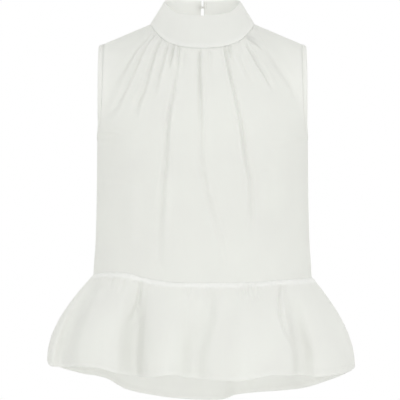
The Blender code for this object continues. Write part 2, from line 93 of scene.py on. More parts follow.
def gridNormals(points, side):    # out of the blouse; rows run down
    across = np.gradient(points, axis=1)
    down = np.gradient(points, axis=0)
    return unit(np.cross(down, across) * -side)


def wave(along, across, pitch, seed):    # a quiet ripple, whose odd ratios keep any repeat from showing
    drift = 0.35 * np.sin(along * 0.61 / pitch + seed) + 0.2 * np.sin(across * 0.37 / pitch + 2.1 * seed)
    first = np.sin(2 * math.pi * across / pitch + 2.0 * drift + seed)
    second = np.sin(2 * math.pi * across / (pitch * 1.73) + 1.7 * seed)
    third = 0.6 + 0.4 * np.sin(across * 0.83 / pitch + along * 0.29 / pitch)
    return (first * 0.6 + second * 0.4) * third


def ripples(points, side, down, over):    # waves down the cloth and over it: pitch, seed, height
    x, z = points[..., 0], points[..., 2]
    return wave(z, x, down[0], down[1] + side) * down[2] + wave(x, z, over[0], over[1] + side) * over[2]


def linkObject(name, data):
    made = bpy.data.objects.new(name, data)
    bpy.context.scene.collection.objects.link(made)
    return made


# colours and materials

def linear(hexColour):
    values = [int(hexColour[i:i + 2], 16) / 255 for i in (1, 3, 5)]
    return tuple(v / 12.92 if v <= 0.04045 else ((v + 0.055) / 1.055)**2.4 for v in values) + (1.0,)


def addNode(tree, kind, settings=None, links=None):    # an input goes by its name, or its number
    node = tree.nodes.new(kind)
    for key, value in (settings or {}).items():
        if isinstance(key, int) or key in node.inputs:
            node.inputs[key].default_value = value
        else:
            setattr(node, key, value)
    for key, source in (links or {}).items():
        tree.links.new(source, node.inputs[key])
    return node


def startMaterial(name, shine):
    material = bpy.data.materials.new(name)
    material.use_nodes = True
    tree = material.node_tree
    shader = tree.nodes["Principled BSDF"]
    for key, value in shine.items():
        shader.inputs[key].default_value = value
    return material, tree, shader, addNode(tree, "ShaderNodeTexCoord").outputs["Object"]


def twoTones(tree, shader, place, patches, colour, shade):    # two close colours, mixed in soft patches
    patch = addNode(tree, "ShaderNodeTexNoise", patches, {"Vector": place})
    tone = addNode(tree, "ShaderNodeMix", {"data_type": "RGBA", 6: linear(colour), 7: linear(shade)},
                   {"Factor": patch.outputs["Fac"]})
    tree.links.new(tone.outputs[2], shader.inputs["Base Color"])
    return tone.outputs[2]


crepe = {
    "colour": "#F6F7F4",          # off-white dyed polyester crepe
    "shade": "#F2F2F0",           # where its threads crowd together
    "patches": {"Scale": 14.0, "Detail": 3.0},
    "shine": {"Roughness": 0.86, "Sheen Weight": 0.12, "Sheen Roughness": 0.6, "IOR": 1.46,
              "Specular IOR Level": 0.25},    # its twisted threads catch a little light at grazing angles
    "through": 0.52,              # how much light each face lets through
    "throughBacked": 0.26,        # and where a seam's turned edge backs it
    "relief": ((0.011, 0.00025, {"Detail": 1.5}),    # pitch and height of the crinkle that crepe keeps
               (0.0022, 0.00006, {"Detail": 2.0, "Roughness": 0.6})),    # and of its grain
    "stretch": 0.55,              # both run longer down the cloth than across it
}


def crepeMaterial(name, grainTurn=0.0):
    material, tree, shader, place = startMaterial(name, crepe["shine"])
    colour = twoTones(tree, shader, place, crepe["patches"], crepe["colour"], crepe["shade"])
    turned = addNode(tree, "ShaderNodeMapping", {"Rotation": (0.0, grainTurn, 0.0),
                                                 "Scale": (1.0, 1.0, crepe["stretch"])}, {"Vector": place})
    normal = {}
    for pitch, height, detail in crepe["relief"]:
        noise = addNode(tree, "ShaderNodeTexNoise", {"Scale": 1.0 / pitch, **detail},
                        {"Vector": turned.outputs["Vector"]})
        relief = addNode(tree, "ShaderNodeBump", {"Strength": 1.0, "Distance": height},
                         {"Height": noise.outputs["Fac"], **normal})
        normal = {"Normal": relief.outputs["Normal"]}
    tree.links.new(normal["Normal"], shader.inputs["Normal"])
    through = addNode(tree, "ShaderNodeBsdfTranslucent", None, {"Color": colour, **normal})
    backed = addNode(tree, "ShaderNodeAttribute", {"attribute_name": "backed"})
    amounts = {"To Min": crepe["through"], "To Max": crepe["throughBacked"]}
    share = addNode(tree, "ShaderNodeMapRange", amounts, {"Value": backed.outputs["Fac"]})
    both = addNode(tree, "ShaderNodeMixShader", None,
                   {"Fac": share.outputs["Result"], 1: shader.outputs["BSDF"], 2: through.outputs["BSDF"]})
    tree.links.new(both.outputs[0], tree.nodes["Material Output"].inputs["Surface"])
    return material


def plainMaterial(name, shine, patches, colour, shade):
    material, tree, shader, place = startMaterial(name, shine)
    twoTones(tree, shader, place, patches, colour, shade)
    return material


clothFinish = crepeMaterial("polyesterCrepe")
biasFinish = crepeMaterial("polyesterCrepeOnTheBias", math.radians(45))
spun = {"Roughness": 0.7, "Sheen Weight": 0.2}    # matte spun polyester thread
fuzz = {"Scale": 2500.0}                          # whose twist is too fine to show
threadFinish = plainMaterial("spunPolyesterThread", spun, fuzz, "#F2F2ED", "#E8E8E1")
cordFinishPaintedShade = plainMaterial("twistedButtonholeThreadPaintedShade", spun, fuzz, "#CFCDC3", "#BBB9AE")    # the greyer loop: its grey is partly the thread's own tone and partly painted shade
polished = {"Roughness": 0.22, "IOR": 1.55, "Coat Weight": 0.3}    # cast polyester resin: a soft even gloss
cloudy = {"Scale": 260.0, "Detail": 3.0}
resinFinish = plainMaterial("castResinButton", polished, cloudy, "#EFEDE4", "#E2DFD3")


# meshes from grids of points

def outward(vertices, faces):    # turns the faces of a closed shell outwards
    triangles = np.array([(face[0], face[i], face[i + 1]) for face in faces for i in range(1, len(face) - 1)])
    corners = vertices[triangles]
    volume = np.einsum("ij,ij->", corners[:, 0], np.cross(corners[:, 1], corners[:, 2]))
    return [face[::-1] for face in faces] if volume < 0.0 else faces


def finishPiece(name, shells, material, replaced):    # shells: vertices, faces, backed marks
    vertices, faces, marks = [], [], []
    for points, sides, backed in shells:
        faces += [tuple(len(vertices) + corner for corner in side) for side in sides]
        vertices += points.tolist()
        marks += backed.tolist()
    data = bpy.data.meshes.new(name)
    data.from_pydata(vertices, [], faces)
    data.attributes.new("backed", "FLOAT", "POINT").data.foreach_set("value", marks)
    data.shade_smooth()
    data.materials.append(material)
    piece = linkObject(name, data)
    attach(piece, "root")
    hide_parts(replaced)
    return piece


foldTurns = np.radians((45, 90, 135))    # one row of points for each, where a cut edge is folded


def roundedEdge(outerRow, innerRow, beyond):
    centre = (outerRow + innerRow) / 2
    half = (outerRow - innerRow) / 2
    reach = np.linalg.norm(half, axis=-1, keepdims=True)
    return [centre + half * math.cos(turn) + beyond * reach * math.sin(turn) for turn in foldTurns]


def clothShell(outer, walls, thickness, backed=0.0, closed=False, hole=None, roundFoot=False, roundHead=False,
               sewnSides=False):
    rows, columns = outer.shape[:2]
    turns = len(foldTurns)
    thickness = thickness * np.ones((rows, columns))
    for edge, folded in ((0, roundHead), (-1, roundFoot)):
        if not folded:
            thickness *= easeIn(fromRow(outer, edge), seam["edge"], seam["reach"])
    if sewnSides:
        across = outer.swapaxes(0, 1)
        toSide = np.minimum(fromRow(across, 0), fromRow(across, -1)).T
        thickness *= easeIn(toSide, seam["edge"], seam["reach"])
    inner = outer - unit(walls) * thickness[..., None]
    section = list(outer)
    marks = list(backed * np.ones((rows, columns)))    # where a second layer lies behind the cloth
    innerMarks = marks[::-1]
    if roundFoot:
        section += roundedEdge(outer[-1], inner[-1], unit(outer[-1] - outer[-2]))
        marks += marks[-1:] * turns
    section += list(inner[::-1])
    marks += innerMarks
    if roundHead:
        section += roundedEdge(inner[0], outer[0], unit(outer[0] - outer[1]))
        marks += marks[-1:] * turns
    vertices = np.array(section).reshape(-1, 3)
    count = len(section)
    innerRow = count - (turns if roundHead else 0) - 1    # the section's row for the inner face's first row
    faces = []

    def at(s, c):
        return (s % count) * columns + c % columns
    for s in range(count):
        for c in range(columns if closed else columns - 1):
            r = s if s < rows else innerRow - s - 1
            headStrip = s >= innerRow
            footStrip = rows - 1 <= s < innerRow - rows + 1
            if hole and c == hole["column"] and (headStrip or (r < hole["rows"] and not footStrip)):
                continue
            faces.append((at(s, c), at(s, c + 1), at(s + 1, c + 1), at(s + 1, c)))
    if not closed:
        for c, flip in ((0, 1), (columns - 1, -1)):
            caps = [(at(r, c), at(r + 1, c), at(innerRow - r - 1, c), at(innerRow - r, c))
                    for r in range(rows - 1)]
            if roundFoot:
                caps.append(tuple(at(s, c) for s in range(rows - 1, rows + turns + 1)))
            if roundHead:
                caps.append(tuple(at(s, c) for s in range(innerRow, innerRow + turns + 2)))
            faces += [cap[::flip] for cap in caps]
    if hole:
        first, foot = hole["column"], hole["rows"]
        for r in range(foot):
            for c, flip in ((first, -1), (first + 1, 1)):
                faces.append((at(r, c), at(innerRow - r, c), at(innerRow - r - 1, c), at(r + 1, c))[::flip])
        faces.append((at(foot, first), at(foot, first + 1), at(innerRow - foot, first + 1),
                      at(innerRow - foot, first))[::-1])
    return vertices, outward(vertices, faces), np.concatenate(marks)


# the worn form without its folds: the same sizes as the solids

sideRows = {    # a value for each row of cloth, the same in front and behind
    "across": (0.1640, 0.1638, 0.1635, 0.1635, 0.1640, 0.1655, 0.1685, 0.1725, 0.1735,
               0.1740, 0.1743, 0.1750, 0.1765, 0.1790, 0.1800),
    "edge": (-0.0330, -0.0365, -0.0520, -0.0800, -0.1130, -0.1450, -0.1720, -0.1885, -0.1920,
             -0.2250, -0.2650, -0.3100, -0.3600, -0.3950, -0.4157),
    "turn": (62, 59, 57, 56, 58, 64, 74, 84, 90, 90, 90, 90, 90, 90, 90)}
worn = {
    "neckHalfWidth": 0.086,
    "neckDepth": {front: 0.092, back: 0.078},
    "neckline": {
        front: {"angle": (0, 20, 40, 60, 76, 90),
                "height": (-0.0455, -0.0430, -0.0345, -0.0180, -0.0040, 0.0),
                "lean": (27, 28, 33, 42, 55, 67)},
        back: {"angle": (0, 30, 60, 90),
               "height": (-0.0060, -0.0050, -0.0020, 0.0),
               "lean": (32, 36, 47, 67)}},
    "necklineShare": 0.85,
    "fanShare": (0, 0.15, 0.30, 0.45, 0.60, 0.72, 0.80, 0.85),
    "fanAngle": (0, 17, 33, 46, 57, 68, 79, 90),
    "fanRows": 6.0,
    "fanStart": 0.006,       # how far the neckline's lift softens at the first row,
    "fanEase": 0.032,        # and how much further with each row
    "tipShare": 0.12,        # the part beside the shoulder tip that keeps its lift
    "tipAcross": 0.1640,
    "tipHeight": -0.0330,
    "armholeRows": 8,
    "rows": {
        front: {
            **sideRows,
            "out": (0.0, 0.0160, 0.0330, 0.0450, 0.0500, 0.0470, 0.0350, 0.0160, 0.0,
                    0.0, 0.0, 0.0, 0.0, 0.0, 0.0),
            "centre": (-0.0455, -0.0535, -0.0670, -0.0870, -0.1120, -0.1400, -0.1680, -0.1930, -0.2130,
                       -0.2400, -0.2750, -0.3170, -0.3640, -0.4000, -0.4220),
            "depth": (0.0920, 0.0955, 0.0995, 0.1035, 0.1070, 0.1100, 0.1125, 0.1140, 0.1145,
                      0.1150, 0.1150, 0.1145, 0.1140, 0.1145, 0.1150)},
        back: {
            **sideRows,
            "out": (0.0, 0.0165, 0.0345, 0.0470, 0.0520, 0.0485, 0.0360, 0.0160, 0.0,
                    0.0, 0.0, 0.0, 0.0, 0.0, 0.0),
            "centre": (-0.0060, -0.0150, -0.0330, -0.0620, -0.0920, -0.1230, -0.1560, -0.1820, -0.2040,
                       -0.2340, -0.2700, -0.3130, -0.3640, -0.4010, -0.4220),
            "depth": (0.0780, 0.0830, 0.0910, 0.0990, 0.1050, 0.1090, 0.1115, 0.1130, 0.1140,
                      0.1145, 0.1140, 0.1130, 0.1120, 0.1130, 0.1150)}},
    "waistRows": 4.0,        # the lowest rows, which bend to meet the waist seam
    "waistShare": (-1.0, -0.80, -0.62, -0.46, -0.36, -0.20, 0.0, 0.34, 0.50, 0.80, 1.0),
    "waistHeight": (-0.4157, -0.4100, -0.4068, -0.4078, -0.4135, -0.4205, -0.4220,
                    -0.4210, -0.4185, -0.4180, -0.4175),
}
lastRow = len(worn["rows"][front]["edge"]) - 1.0


def neckRing(angle, side):    # the neck seam's point, the direction through the cloth and the way up it
    turn = np.radians(angle)
    depth = worn["neckDepth"][side]
    level = unit(np.stack((np.sin(turn) * depth, side * np.cos(turn) * worn["neckHalfWidth"], 0.0 * turn),
                          axis=-1))
    table = worn["neckline"][side]
    lean = np.radians(readTable(table["angle"], table["lean"], np.abs(angle)))[..., None]
    rise = np.array((0.0, 0.0, 1.0))
    point = np.stack((worn["neckHalfWidth"] * np.sin(turn), side * depth * np.cos(turn),
                      readTable(table["angle"], table["height"], np.abs(angle))), axis=-1)
    return point, level * np.cos(lean) + rise * np.sin(lean), rise * np.cos(lean) - level * np.sin(lean)


def neckAngle(share):
    return readTable(worn["fanShare"], worn["fanAngle"], np.abs(share)) * np.sign(share)


def shoulderSeam(share):
    run = worn["tipAcross"] - worn["neckHalfWidth"]
    along = (np.abs(share) - worn["necklineShare"]) / (1.0 - worn["necklineShare"])
    point = np.stack(((worn["neckHalfWidth"] + run * along) * np.sign(share), 0.0 * along,
                      worn["tipHeight"] * along), axis=-1)
    wall = np.stack((-worn["tipHeight"] * np.sign(share), 0.0 * along, run + 0.0 * along), axis=-1)
    return point, unit(wall)


def chestSection(share, row, side):
    table = worn["rows"][side]
    at = {key: readTable(range(len(values)), values, row) for key, values in table.items()}
    turn = np.radians(at["turn"])
    angle = share * turn
    swell = (np.cos(angle) - np.cos(turn)) / (1.0 - np.cos(turn))
    return np.stack((at["across"] * np.sin(angle) / np.sin(turn),
                     side * (at["out"] + (at["depth"] - at["out"]) * swell),
                     at["edge"] + (at["centre"] - at["edge"]) * swell), axis=-1)


def plainPanel(share, row, side):    # the panel's outer face before any fold is pressed in
    points = chestSection(share, row, side)
    underNeck = (np.abs(share[0]) <= worn["necklineShare"])[:, None]
    neck, neckWall, neckUp = neckRing(neckAngle(share[0]), side)
    shoulder, shoulderWall = shoulderSeam(share[0])
    lift = (np.where(underNeck, neck, shoulder) - points[0])[None] * np.ones_like(points)
    apart = share[0][:, None] - share[0][None]
    weight = np.gradient(share[0])
    for index in range(1, len(row)):
        reach = worn["fanStart"] + worn["fanEase"] * row[index, 0]
        kernel = bump(apart / reach) * weight
        eased = kernel / kernel.sum(axis=1, keepdims=True) @ lift[0]
        keep = smoothStep((1.0 - np.abs(share[0])) / worn["tipShare"])[:, None]
        lift[index] = lift[0] + (eased - lift[0]) * keep
    points += lift * (1.0 - smoothStep(row / worn["fanRows"]))[..., None]
    waist = readTable(worn["waistShare"], worn["waistHeight"], share)
    low = (row - (lastRow - worn["waistRows"])) / worn["waistRows"]
    points[..., 2] += (waist - points[-1, :, 2]) * smoothStep(low)
    walls = gridNormals(points, side)
    walls[0] = np.where(underNeck, neckWall, shoulderWall)
    return points, walls, np.where(underNeck, neckUp, 0.0)


# folds: each is a path over the cloth seen from in front or behind, in millimetres across and up, its half
# widths and depths along the way, and its lean, which says on which side the ridge beside it stands

foldShape = {
    "narrow": 9.0,           # millimetres; a fold under this half width can be made crisper
    "fade": 7.0,             # millimetres over which its start dies away
    "fadeOut": 2.5,          # and how much longer its end takes
    "ridge": 0.62,           # height of the ridges beside it, as a share of its depth
    "ridgePlace": 1.7,       # their place and half width, in the fold's half widths
    "ridgeWide": 1.1,
}


def pressFolds(points, folds, crisp=1.0):    # how far in the folds push each point; a ridge counts as less
    place = np.stack((points[..., 0], points[..., 2]), axis=-1) * millimetres
    pressed = np.zeros(points.shape[:2])
    for path, wide, deep, lean in folds:
        path = np.array(path, float)
        starts = runLength(path)
        nearest = np.full(pressed.shape, np.inf)
        signed = np.zeros(pressed.shape)
        along = np.zeros(pressed.shape)
        lengths = np.linalg.norm(np.diff(path, axis=0), axis=1)
        for index, length in enumerate(lengths):
            way = (path[index + 1] - path[index]) / length
            offset = place - path[index]
            last = index == len(lengths) - 1
            held = np.clip(offset @ way, 0.0 if index else -length, np.inf if last else length)
            gap = offset - held[..., None] * way
            distance = np.linalg.norm(gap, axis=-1)
            closer = distance < nearest
            nearest = np.where(closer, distance, nearest)
            signed = np.where(closer, way[0] * gap[..., 1] - way[1] * gap[..., 0], signed)
            along = np.where(closer, (starts[index] + held) / starts[-1], along)
        wide = np.interp(along, np.linspace(0, 1, len(wide)), wide)
        wide = np.where(wide < foldShape["narrow"], wide * crisp, wide)
        deep = np.interp(along, np.linspace(0, 1, len(deep)), deep)
        end = foldShape["fade"] / starts[-1]
        endLater = foldShape["fadeOut"] * end
        fade = smoothStep((along + end) / end) * smoothStep((1.0 + end - along) / endLater)
        away = signed / wide
        ridge = 0.0
        for hand in (1.0, -1.0):
            beside = (away - hand * foldShape["ridgePlace"]) / foldShape["ridgeWide"]
            ridge = ridge + 0.5 * (1.0 + hand * lean) * bump(beside)
        pressed += deep * fade * (bump(away) - foldShape["ridge"] * ridge) / millimetres
    return pressed


def sewSides(points, walls, side, rows=slice(None)):    # front and back meet face to face down the side seams
    for column in (0, -1):
        walls[rows, column, 1] = 0.0
        points[rows, column, 1] += side * seam["gap"] / 2


print("worn form ready")


# the front and back panels

panel = {
    "cloth": 0.0012,
    "neckColumns": 96,       # on each half, under the neckline
    "shoulderColumns": 14,   # on each half, under the shoulder seam
    "rows": 132,
    "seamRows": 12,          # more rows, close together above the waist seam
    "crisp": 0.80,           # narrows the folds' given widths
    "quietSide": 0.10,       # the share of a half beside its edge where folds die away
    "quietWaist": (0.15, 0.016),    # what is left of a fold at the waist seam, and where it is whole
    "heldNeck": (0.25, 0.008),      # and the same under the collar
    "seamPuff": 0.0003,      # how far panel and peplum swell where they meet at the waist
    "seamReach": 0.0045,
    "seamSpan": 2.5,         # the closer rows start this many reaches above it
    "samples": 800,          # points along the centre line, from which the rows are read
    "neckPuff": (0.0006, 0.005, 0.004),    # the cloth stands up between the gathers: height, place and reach
    "sideSeam": (0.0006, 0.02, 0.2, 1.5),    # its groove: depth, share, and the rows where it begins
    "ripples": ((0.034, 1.7, 0.00022), (0.055, 4.1, 0.00012)),
    "pucker": (0.0075, 2.9, 0.00030, 0.011),    # small waves close above the waist seam
    "slit": 0.007,           # the back's columns start this far from its middle, as a share
}

panelFolds = {
    front: (
        (((-86, -20), (-96, -30), (-109, -44), (-120, -62), (-131, -80), (-140, -98)),
         (3, 4, 5, 5.5, 6), (2, 3.2, 3.6, 3.4, 1), 0.4),
        (((-80, -23), (-91, -36), (-100, -52), (-107, -69), (-116, -89), (-124, -105), (-133, -122),
          (-140, -137), (-154, -155)),
         (2.8, 3.8, 4.2, 4.8, 5.2, 6, 6.5), (3.2, 3.8, 4, 4.2, 3.8, 3, 1.2), 0.5),
        (((-66, -29), (-74, -40), (-78, -51), (-84, -71), (-90, -93), (-96, -113), (-105, -133),
          (-109, -155)),
         (2.8, 3.6, 4.4, 5, 5.4, 6), (3.4, 4.2, 4.6, 4.8, 4.4, 1.4), 0.5),
        (((-57, -41), (-62, -55), (-66, -70), (-71, -87), (-74, -103), (-79, -122)),
         (2.6, 3.6, 4.2, 4.6, 5), (3, 3.4, 3, 2.6, 0.8), 0.5),
        (((-47, -42), (-49, -50), (-52, -63), (-54, -80)), (2.6, 3.2, 3.4, 3.6), (4.2, 4.8, 3.4, 0.8), 0.4),
        (((-38, -42), (-39, -56), (-40, -67), (-42, -84), (-45, -100)),
         (2.4, 2.8, 3.2, 4), (3.2, 3.2, 2, 1.6), 0.3),
        (((-45, -96), (-48, -123), (-52, -137), (-55, -155), (-57, -177), (-59, -225), (-65, -277),
          (-70, -339), (-70, -397)),
         (3.6, 4, 4.4, 5, 6.5, 8, 8), (2.6, 4, 4.2, 3.6, 3.8, 2.6, 1.2), 0.5),
        (((-5, -54), (-5, -89), (-4, -116), (-3, -161), (-2, -229), (7, -277), (13, -298), (30, -354),
          (34, -400)),
         (2.8, 3.6, 4.2, 5, 5, 5, 5, 6), (4, 5, 3.4, 2.4, 2.6, 2.4, 1.4, 1), 0.4),
        (((12, -53), (12, -88)), (4, 5), (2.4, 1.2), 0),
        (((36, -45), (43, -84), (52, -120), (61, -161), (67, -204), (71, -229), (77, -259), (79, -302),
          (80, -336)),
         (2.6, 2.8, 3.2, 3.8, 4.4, 5, 5, 5.6), (4, 4.2, 3.4, 4.2, 4.6, 3.8, 3.2, 1.2), -0.5),
        (((43, -43), (47, -58), (52, -70)), (2.6, 3, 3.4), (3.6, 2.6, 0.8), 0),
        (((73, -40), (78, -49), (91, -72), (103, -90), (114, -110)),
         (2.6, 3, 3.4, 4.4), (2.6, 4.2, 4.2, 1.2), 0.3),
        (((75, -26), (84, -32), (92, -38), (102, -48)), (2.4, 2.8, 3.4), (3, 3, 0.8), 0.2),
        (((110, -50), (121, -66), (145, -102), (156, -125)), (6.5, 8, 8, 8), (1.6, 3.2, 3.2, 1.2), 0),
        (((62, -60), (72, -84), (82, -104)), (4, 5, 5.5), (1.4, 1.8, 0.6), 0),
        (((-110, -265), (-112, -370)), (12, 14), (-1.8, -1.8), 0),
        (((-152, -185), (-150, -250)), (20, 25), (3, 2.2), 0),
        (((100, -245), (102, -312)), (9, 9), (-1.4, -1.4), 0),
        (((148, -195), (152, -400)), (12, 13), (1.4, 1.6), 0)),
    back: (
        (((-46, -8), (-52, -90), (-60, -190), (-58, -300), (-52, -398)),
         (5, 7.5, 9, 9), (2.4, 3.8, 3.4, 1.6), 0.4),
        (((40, -8), (50, -80), (63, -170), (66, -280), (60, -385)),
         (5, 7.5, 9, 9), (2.2, 4, 3.6, 1.4), -0.3),
        (((-78, -6), (-96, -60), (-118, -130), (-128, -190)), (5, 6.5, 8), (2, 3, 1.4), 0),
        (((77, -6), (92, -55), (116, -125), (130, -200)), (5, 6.5, 8), (2, 3.2, 1.4), 0),
        (((2, -132), (6, -220), (4, -320), (-6, -400)), (6, 8, 9), (1.2, 2.8, 1.4), 0.2),
        (((-104, -250), (-108, -380)), (12, 14), (-1.4, -1.4), 0),
        (((112, -240), (108, -380)), (12, 14), (-1.4, -1.2), 0),
        (((-150, -195), (-150, -260)), (20, 24), (2.2, 1.6), 0),
        (((150, -195), (150, -260)), (20, 24), (2, 1.6), 0)),
}

# gathers at the neckline: angle from the middle, length in rows of cloth, depth in millimetres, half width
# in degrees
neckGathers = {
    front: ((-81, 3, 1.6, 2.4), (-74, 3.6, 1.9, 2.6), (-66, 2.2, 1.4, 2.2), (-59, 3, 1.8, 2.6),
            (-52.6, 3.8, 2.2, 2.8), (-47, 1.8, 1.2, 1.8), (-42.4, 3.6, 2.2, 2.6), (-38, 1.6, 1.2, 1.8),
            (-33.7, 3.2, 2.2, 2.4), (-26.7, 2.6, 2, 2.4), (-23, 1.4, 1, 1.5), (-20.2, 4.4, 2.2, 2.2),
            (-15.5, 1.6, 1.2, 1.7), (-11.3, 2.2, 1.8, 2.2), (-7.3, 2.6, 1.4, 1.7), (-3.5, 3.4, 1.9, 2),
            (2.2, 1.6, 1.3, 1.8), (8.5, 2.8, 1.9, 2.3), (12.6, 4.2, 1.6, 1.8), (17.3, 2.6, 1.9, 2.2),
            (21.2, 1.5, 1.1, 1.6), (24.6, 2.6, 1.9, 2.2), (30.5, 3.4, 2.2, 2.5), (36.5, 1.8, 1.4, 2),
            (42, 3, 1.9, 2.6), (48.5, 2.4, 1.5, 2.3), (54.5, 3.4, 2, 2.7), (61.7, 3.2, 2, 2.6),
            (66, 1.8, 1.2, 2), (70, 3, 1.8, 2.4), (77, 2.2, 1.5, 2.4), (83, 2.8, 1.4, 2.2)),
    back: ((-82, 3, 1.5, 2.6), (-72, 3.8, 1.9, 3.2), (-63, 2.4, 1.5, 2.6), (-54, 3.4, 2, 3.2),
           (-46, 2.2, 1.5, 2.6), (-37, 4, 2.2, 3.2), (-29, 2.4, 1.6, 2.6), (-21, 3.6, 1.9, 3),
           (-13, 2, 1.3, 2.2), (14, 2.2, 1.4, 2.3), (22, 3.4, 1.9, 3), (30, 2.6, 1.6, 2.6),
           (38, 4.2, 2.2, 3.2), (47, 2.4, 1.5, 2.6), (55, 3.6, 2, 3.2), (64, 2.6, 1.6, 2.8),
           (73, 3.4, 1.8, 3), (82, 2.6, 1.5, 2.6)),
}
gatherShape = {
    "deep": 1.25,            # deepens them all
    "start": (0.22, 0.7),    # how deep they begin at the seam, and the row where they are whole
    "spread": 0.25,          # how much wider they get with each row
    "ridge": 0.35,           # the ridges beside each, and their place in half widths
    "ridgePlace": 1.9,
}

keyhole = {
    "bottom": -0.101,
    "share": (0.0, 0.25, 0.50, 0.75, 0.88, 0.96, 1.0),
    "halfWidth": (0.0033, 0.0044, 0.0064, 0.0083, 0.0076, 0.0048, 0.0012),
    "reach": 0.030,          # how far out the cloth beside it makes room
    "stitched": 0.0022,      # from its edge to its stitches
}


def pressGathers(share, row, side):
    angle = neckAngle(share)
    pressed = np.zeros_like(share)
    for place, length, deep, wide in neckGathers[side]:
        fade = smoothStep(1.0 - row / length) * easeIn(row, *gatherShape["start"])
        spread = wide * (1.0 + gatherShape["spread"] * row)
        beside = (np.abs(angle - place) - gatherShape["ridgePlace"] * spread) / spread
        shape = bump((angle - place) / spread) - gatherShape["ridge"] * bump(beside)
        pressed += gatherShape["deep"] * deep / millimetres * fade * shape
    return np.where(np.abs(share) > worn["necklineShare"], 0.0, pressed)


def panelRows(side):    # even steps down the centre line, with a closer set above the waist seam
    heights = np.array(worn["rows"][side]["centre"])
    length = heights[0] - heights[-1]
    seamStart = length - panel["seamSpan"] * panel["seamReach"]
    steps = np.concatenate((np.linspace(0.0, seamStart, panel["rows"], endpoint=False),
                            np.linspace(seamStart, length, panel["seamRows"])))
    fine = np.linspace(0.0, lastRow, panel["samples"])
    down = heights[0] - readTable(range(len(heights)), heights, fine)
    return np.interp(steps, down, fine)


def panelShares(firstShare=0.0):
    neck = np.linspace(firstShare, worn["necklineShare"], panel["neckColumns"] + 1)
    shoulder = np.linspace(worn["necklineShare"], 1.0, panel["shoulderColumns"] + 1)[1:]
    half = np.concatenate((neck, shoulder))
    return np.concatenate((-half[::-1], half if firstShare else half[1:]))


def panelSurface(shares, rows, side):
    share, row = np.meshgrid(shares, rows)
    points, walls, neckUp = plainPanel(share, row, side)
    above, below = fromRow(points, -1), fromRow(points, 0)
    toEdge = 1.0 - np.abs(share)
    quiet = smoothStep(toEdge / panel["quietSide"]) * easeIn(above, *panel["quietWaist"])
    folded = pressFolds(points, panelFolds[side], panel["crisp"]) * easeIn(below, *panel["heldNeck"])
    pressed = (folded + pressGathers(share, row, side)) * quiet
    pressed -= panel["seamPuff"] * bump(above / panel["seamReach"])
    high, place, reach = panel["neckPuff"]
    pressed -= np.where(np.abs(share) < worn["necklineShare"], high, 0.0) * bump((below - place) / reach)
    deep, reach, start, over = panel["sideSeam"]
    pressed += deep * bump(toEdge / reach) * smoothStep((row - worn["armholeRows"] - start) / over)
    pitch, seed, high, reach = panel["pucker"]
    pucker = wave(points[..., 2], points[..., 0], pitch, seed + side) * high * bump(above / reach)
    pressed += (ripples(points, side, *panel["ripples"]) + pucker) * quiet
    points -= walls * pressed[..., None]
    topWalls = walls[0].copy()
    walls = gridNormals(points, side)
    walls[0] = topWalls
    walls[-1, :, 2] = 0.0
    points[0] -= neckUp[0] * seam["gap"] / 2
    points[-1, :, 2] += seam["gap"] / 2
    points[0, np.abs(share[0]) >= worn["necklineShare"], 1] += side * seam["gap"] / 2
    sewSides(points, walls, side, row[:, 0] >= worn["armholeRows"])
    return points, unit(walls)


frontPoints, frontWalls = panelSurface(panelShares(), panelRows(front), front)
frontShell = clothShell(frontPoints, frontWalls, panel["cloth"], sewnSides=True)
frontPanel = finishPiece("frontPanel", [frontShell], clothFinish, "front")

backPoints, backWalls = panelSurface(panelShares(panel["slit"]), panelRows(back), back)
middle = backPoints.shape[1] // 2
top = backPoints[0, middle, 2]
holeRows = int(np.sum(backPoints[:, middle, 2] > keyhole["bottom"]))
for index in range(holeRows):
    down = (top - backPoints[index, middle, 2]) / (top - backPoints[holeRows - 1, middle, 2])
    gape = readTable(keyhole["share"], keyhole["halfWidth"], down)
    across = backPoints[index, :, 0]
    inner = abs(across[middle])
    away = np.clip((np.abs(across) - inner) / (keyhole["reach"] - inner), 0.0, 1.0)
    backPoints[index, :, 0] += np.sign(across) * (gape - inner) * (1.0 - away)
backShell = clothShell(backPoints, backWalls, panel["cloth"], sewnSides=True,
                       hole={"column": middle - 1, "rows": holeRows - 1})
backPanel = finishPiece("backPanel", [backShell], clothFinish, "back")
print("panels made")


# the peplum: its cut at the hem, angle by angle from the side seam on the left to the one on the right

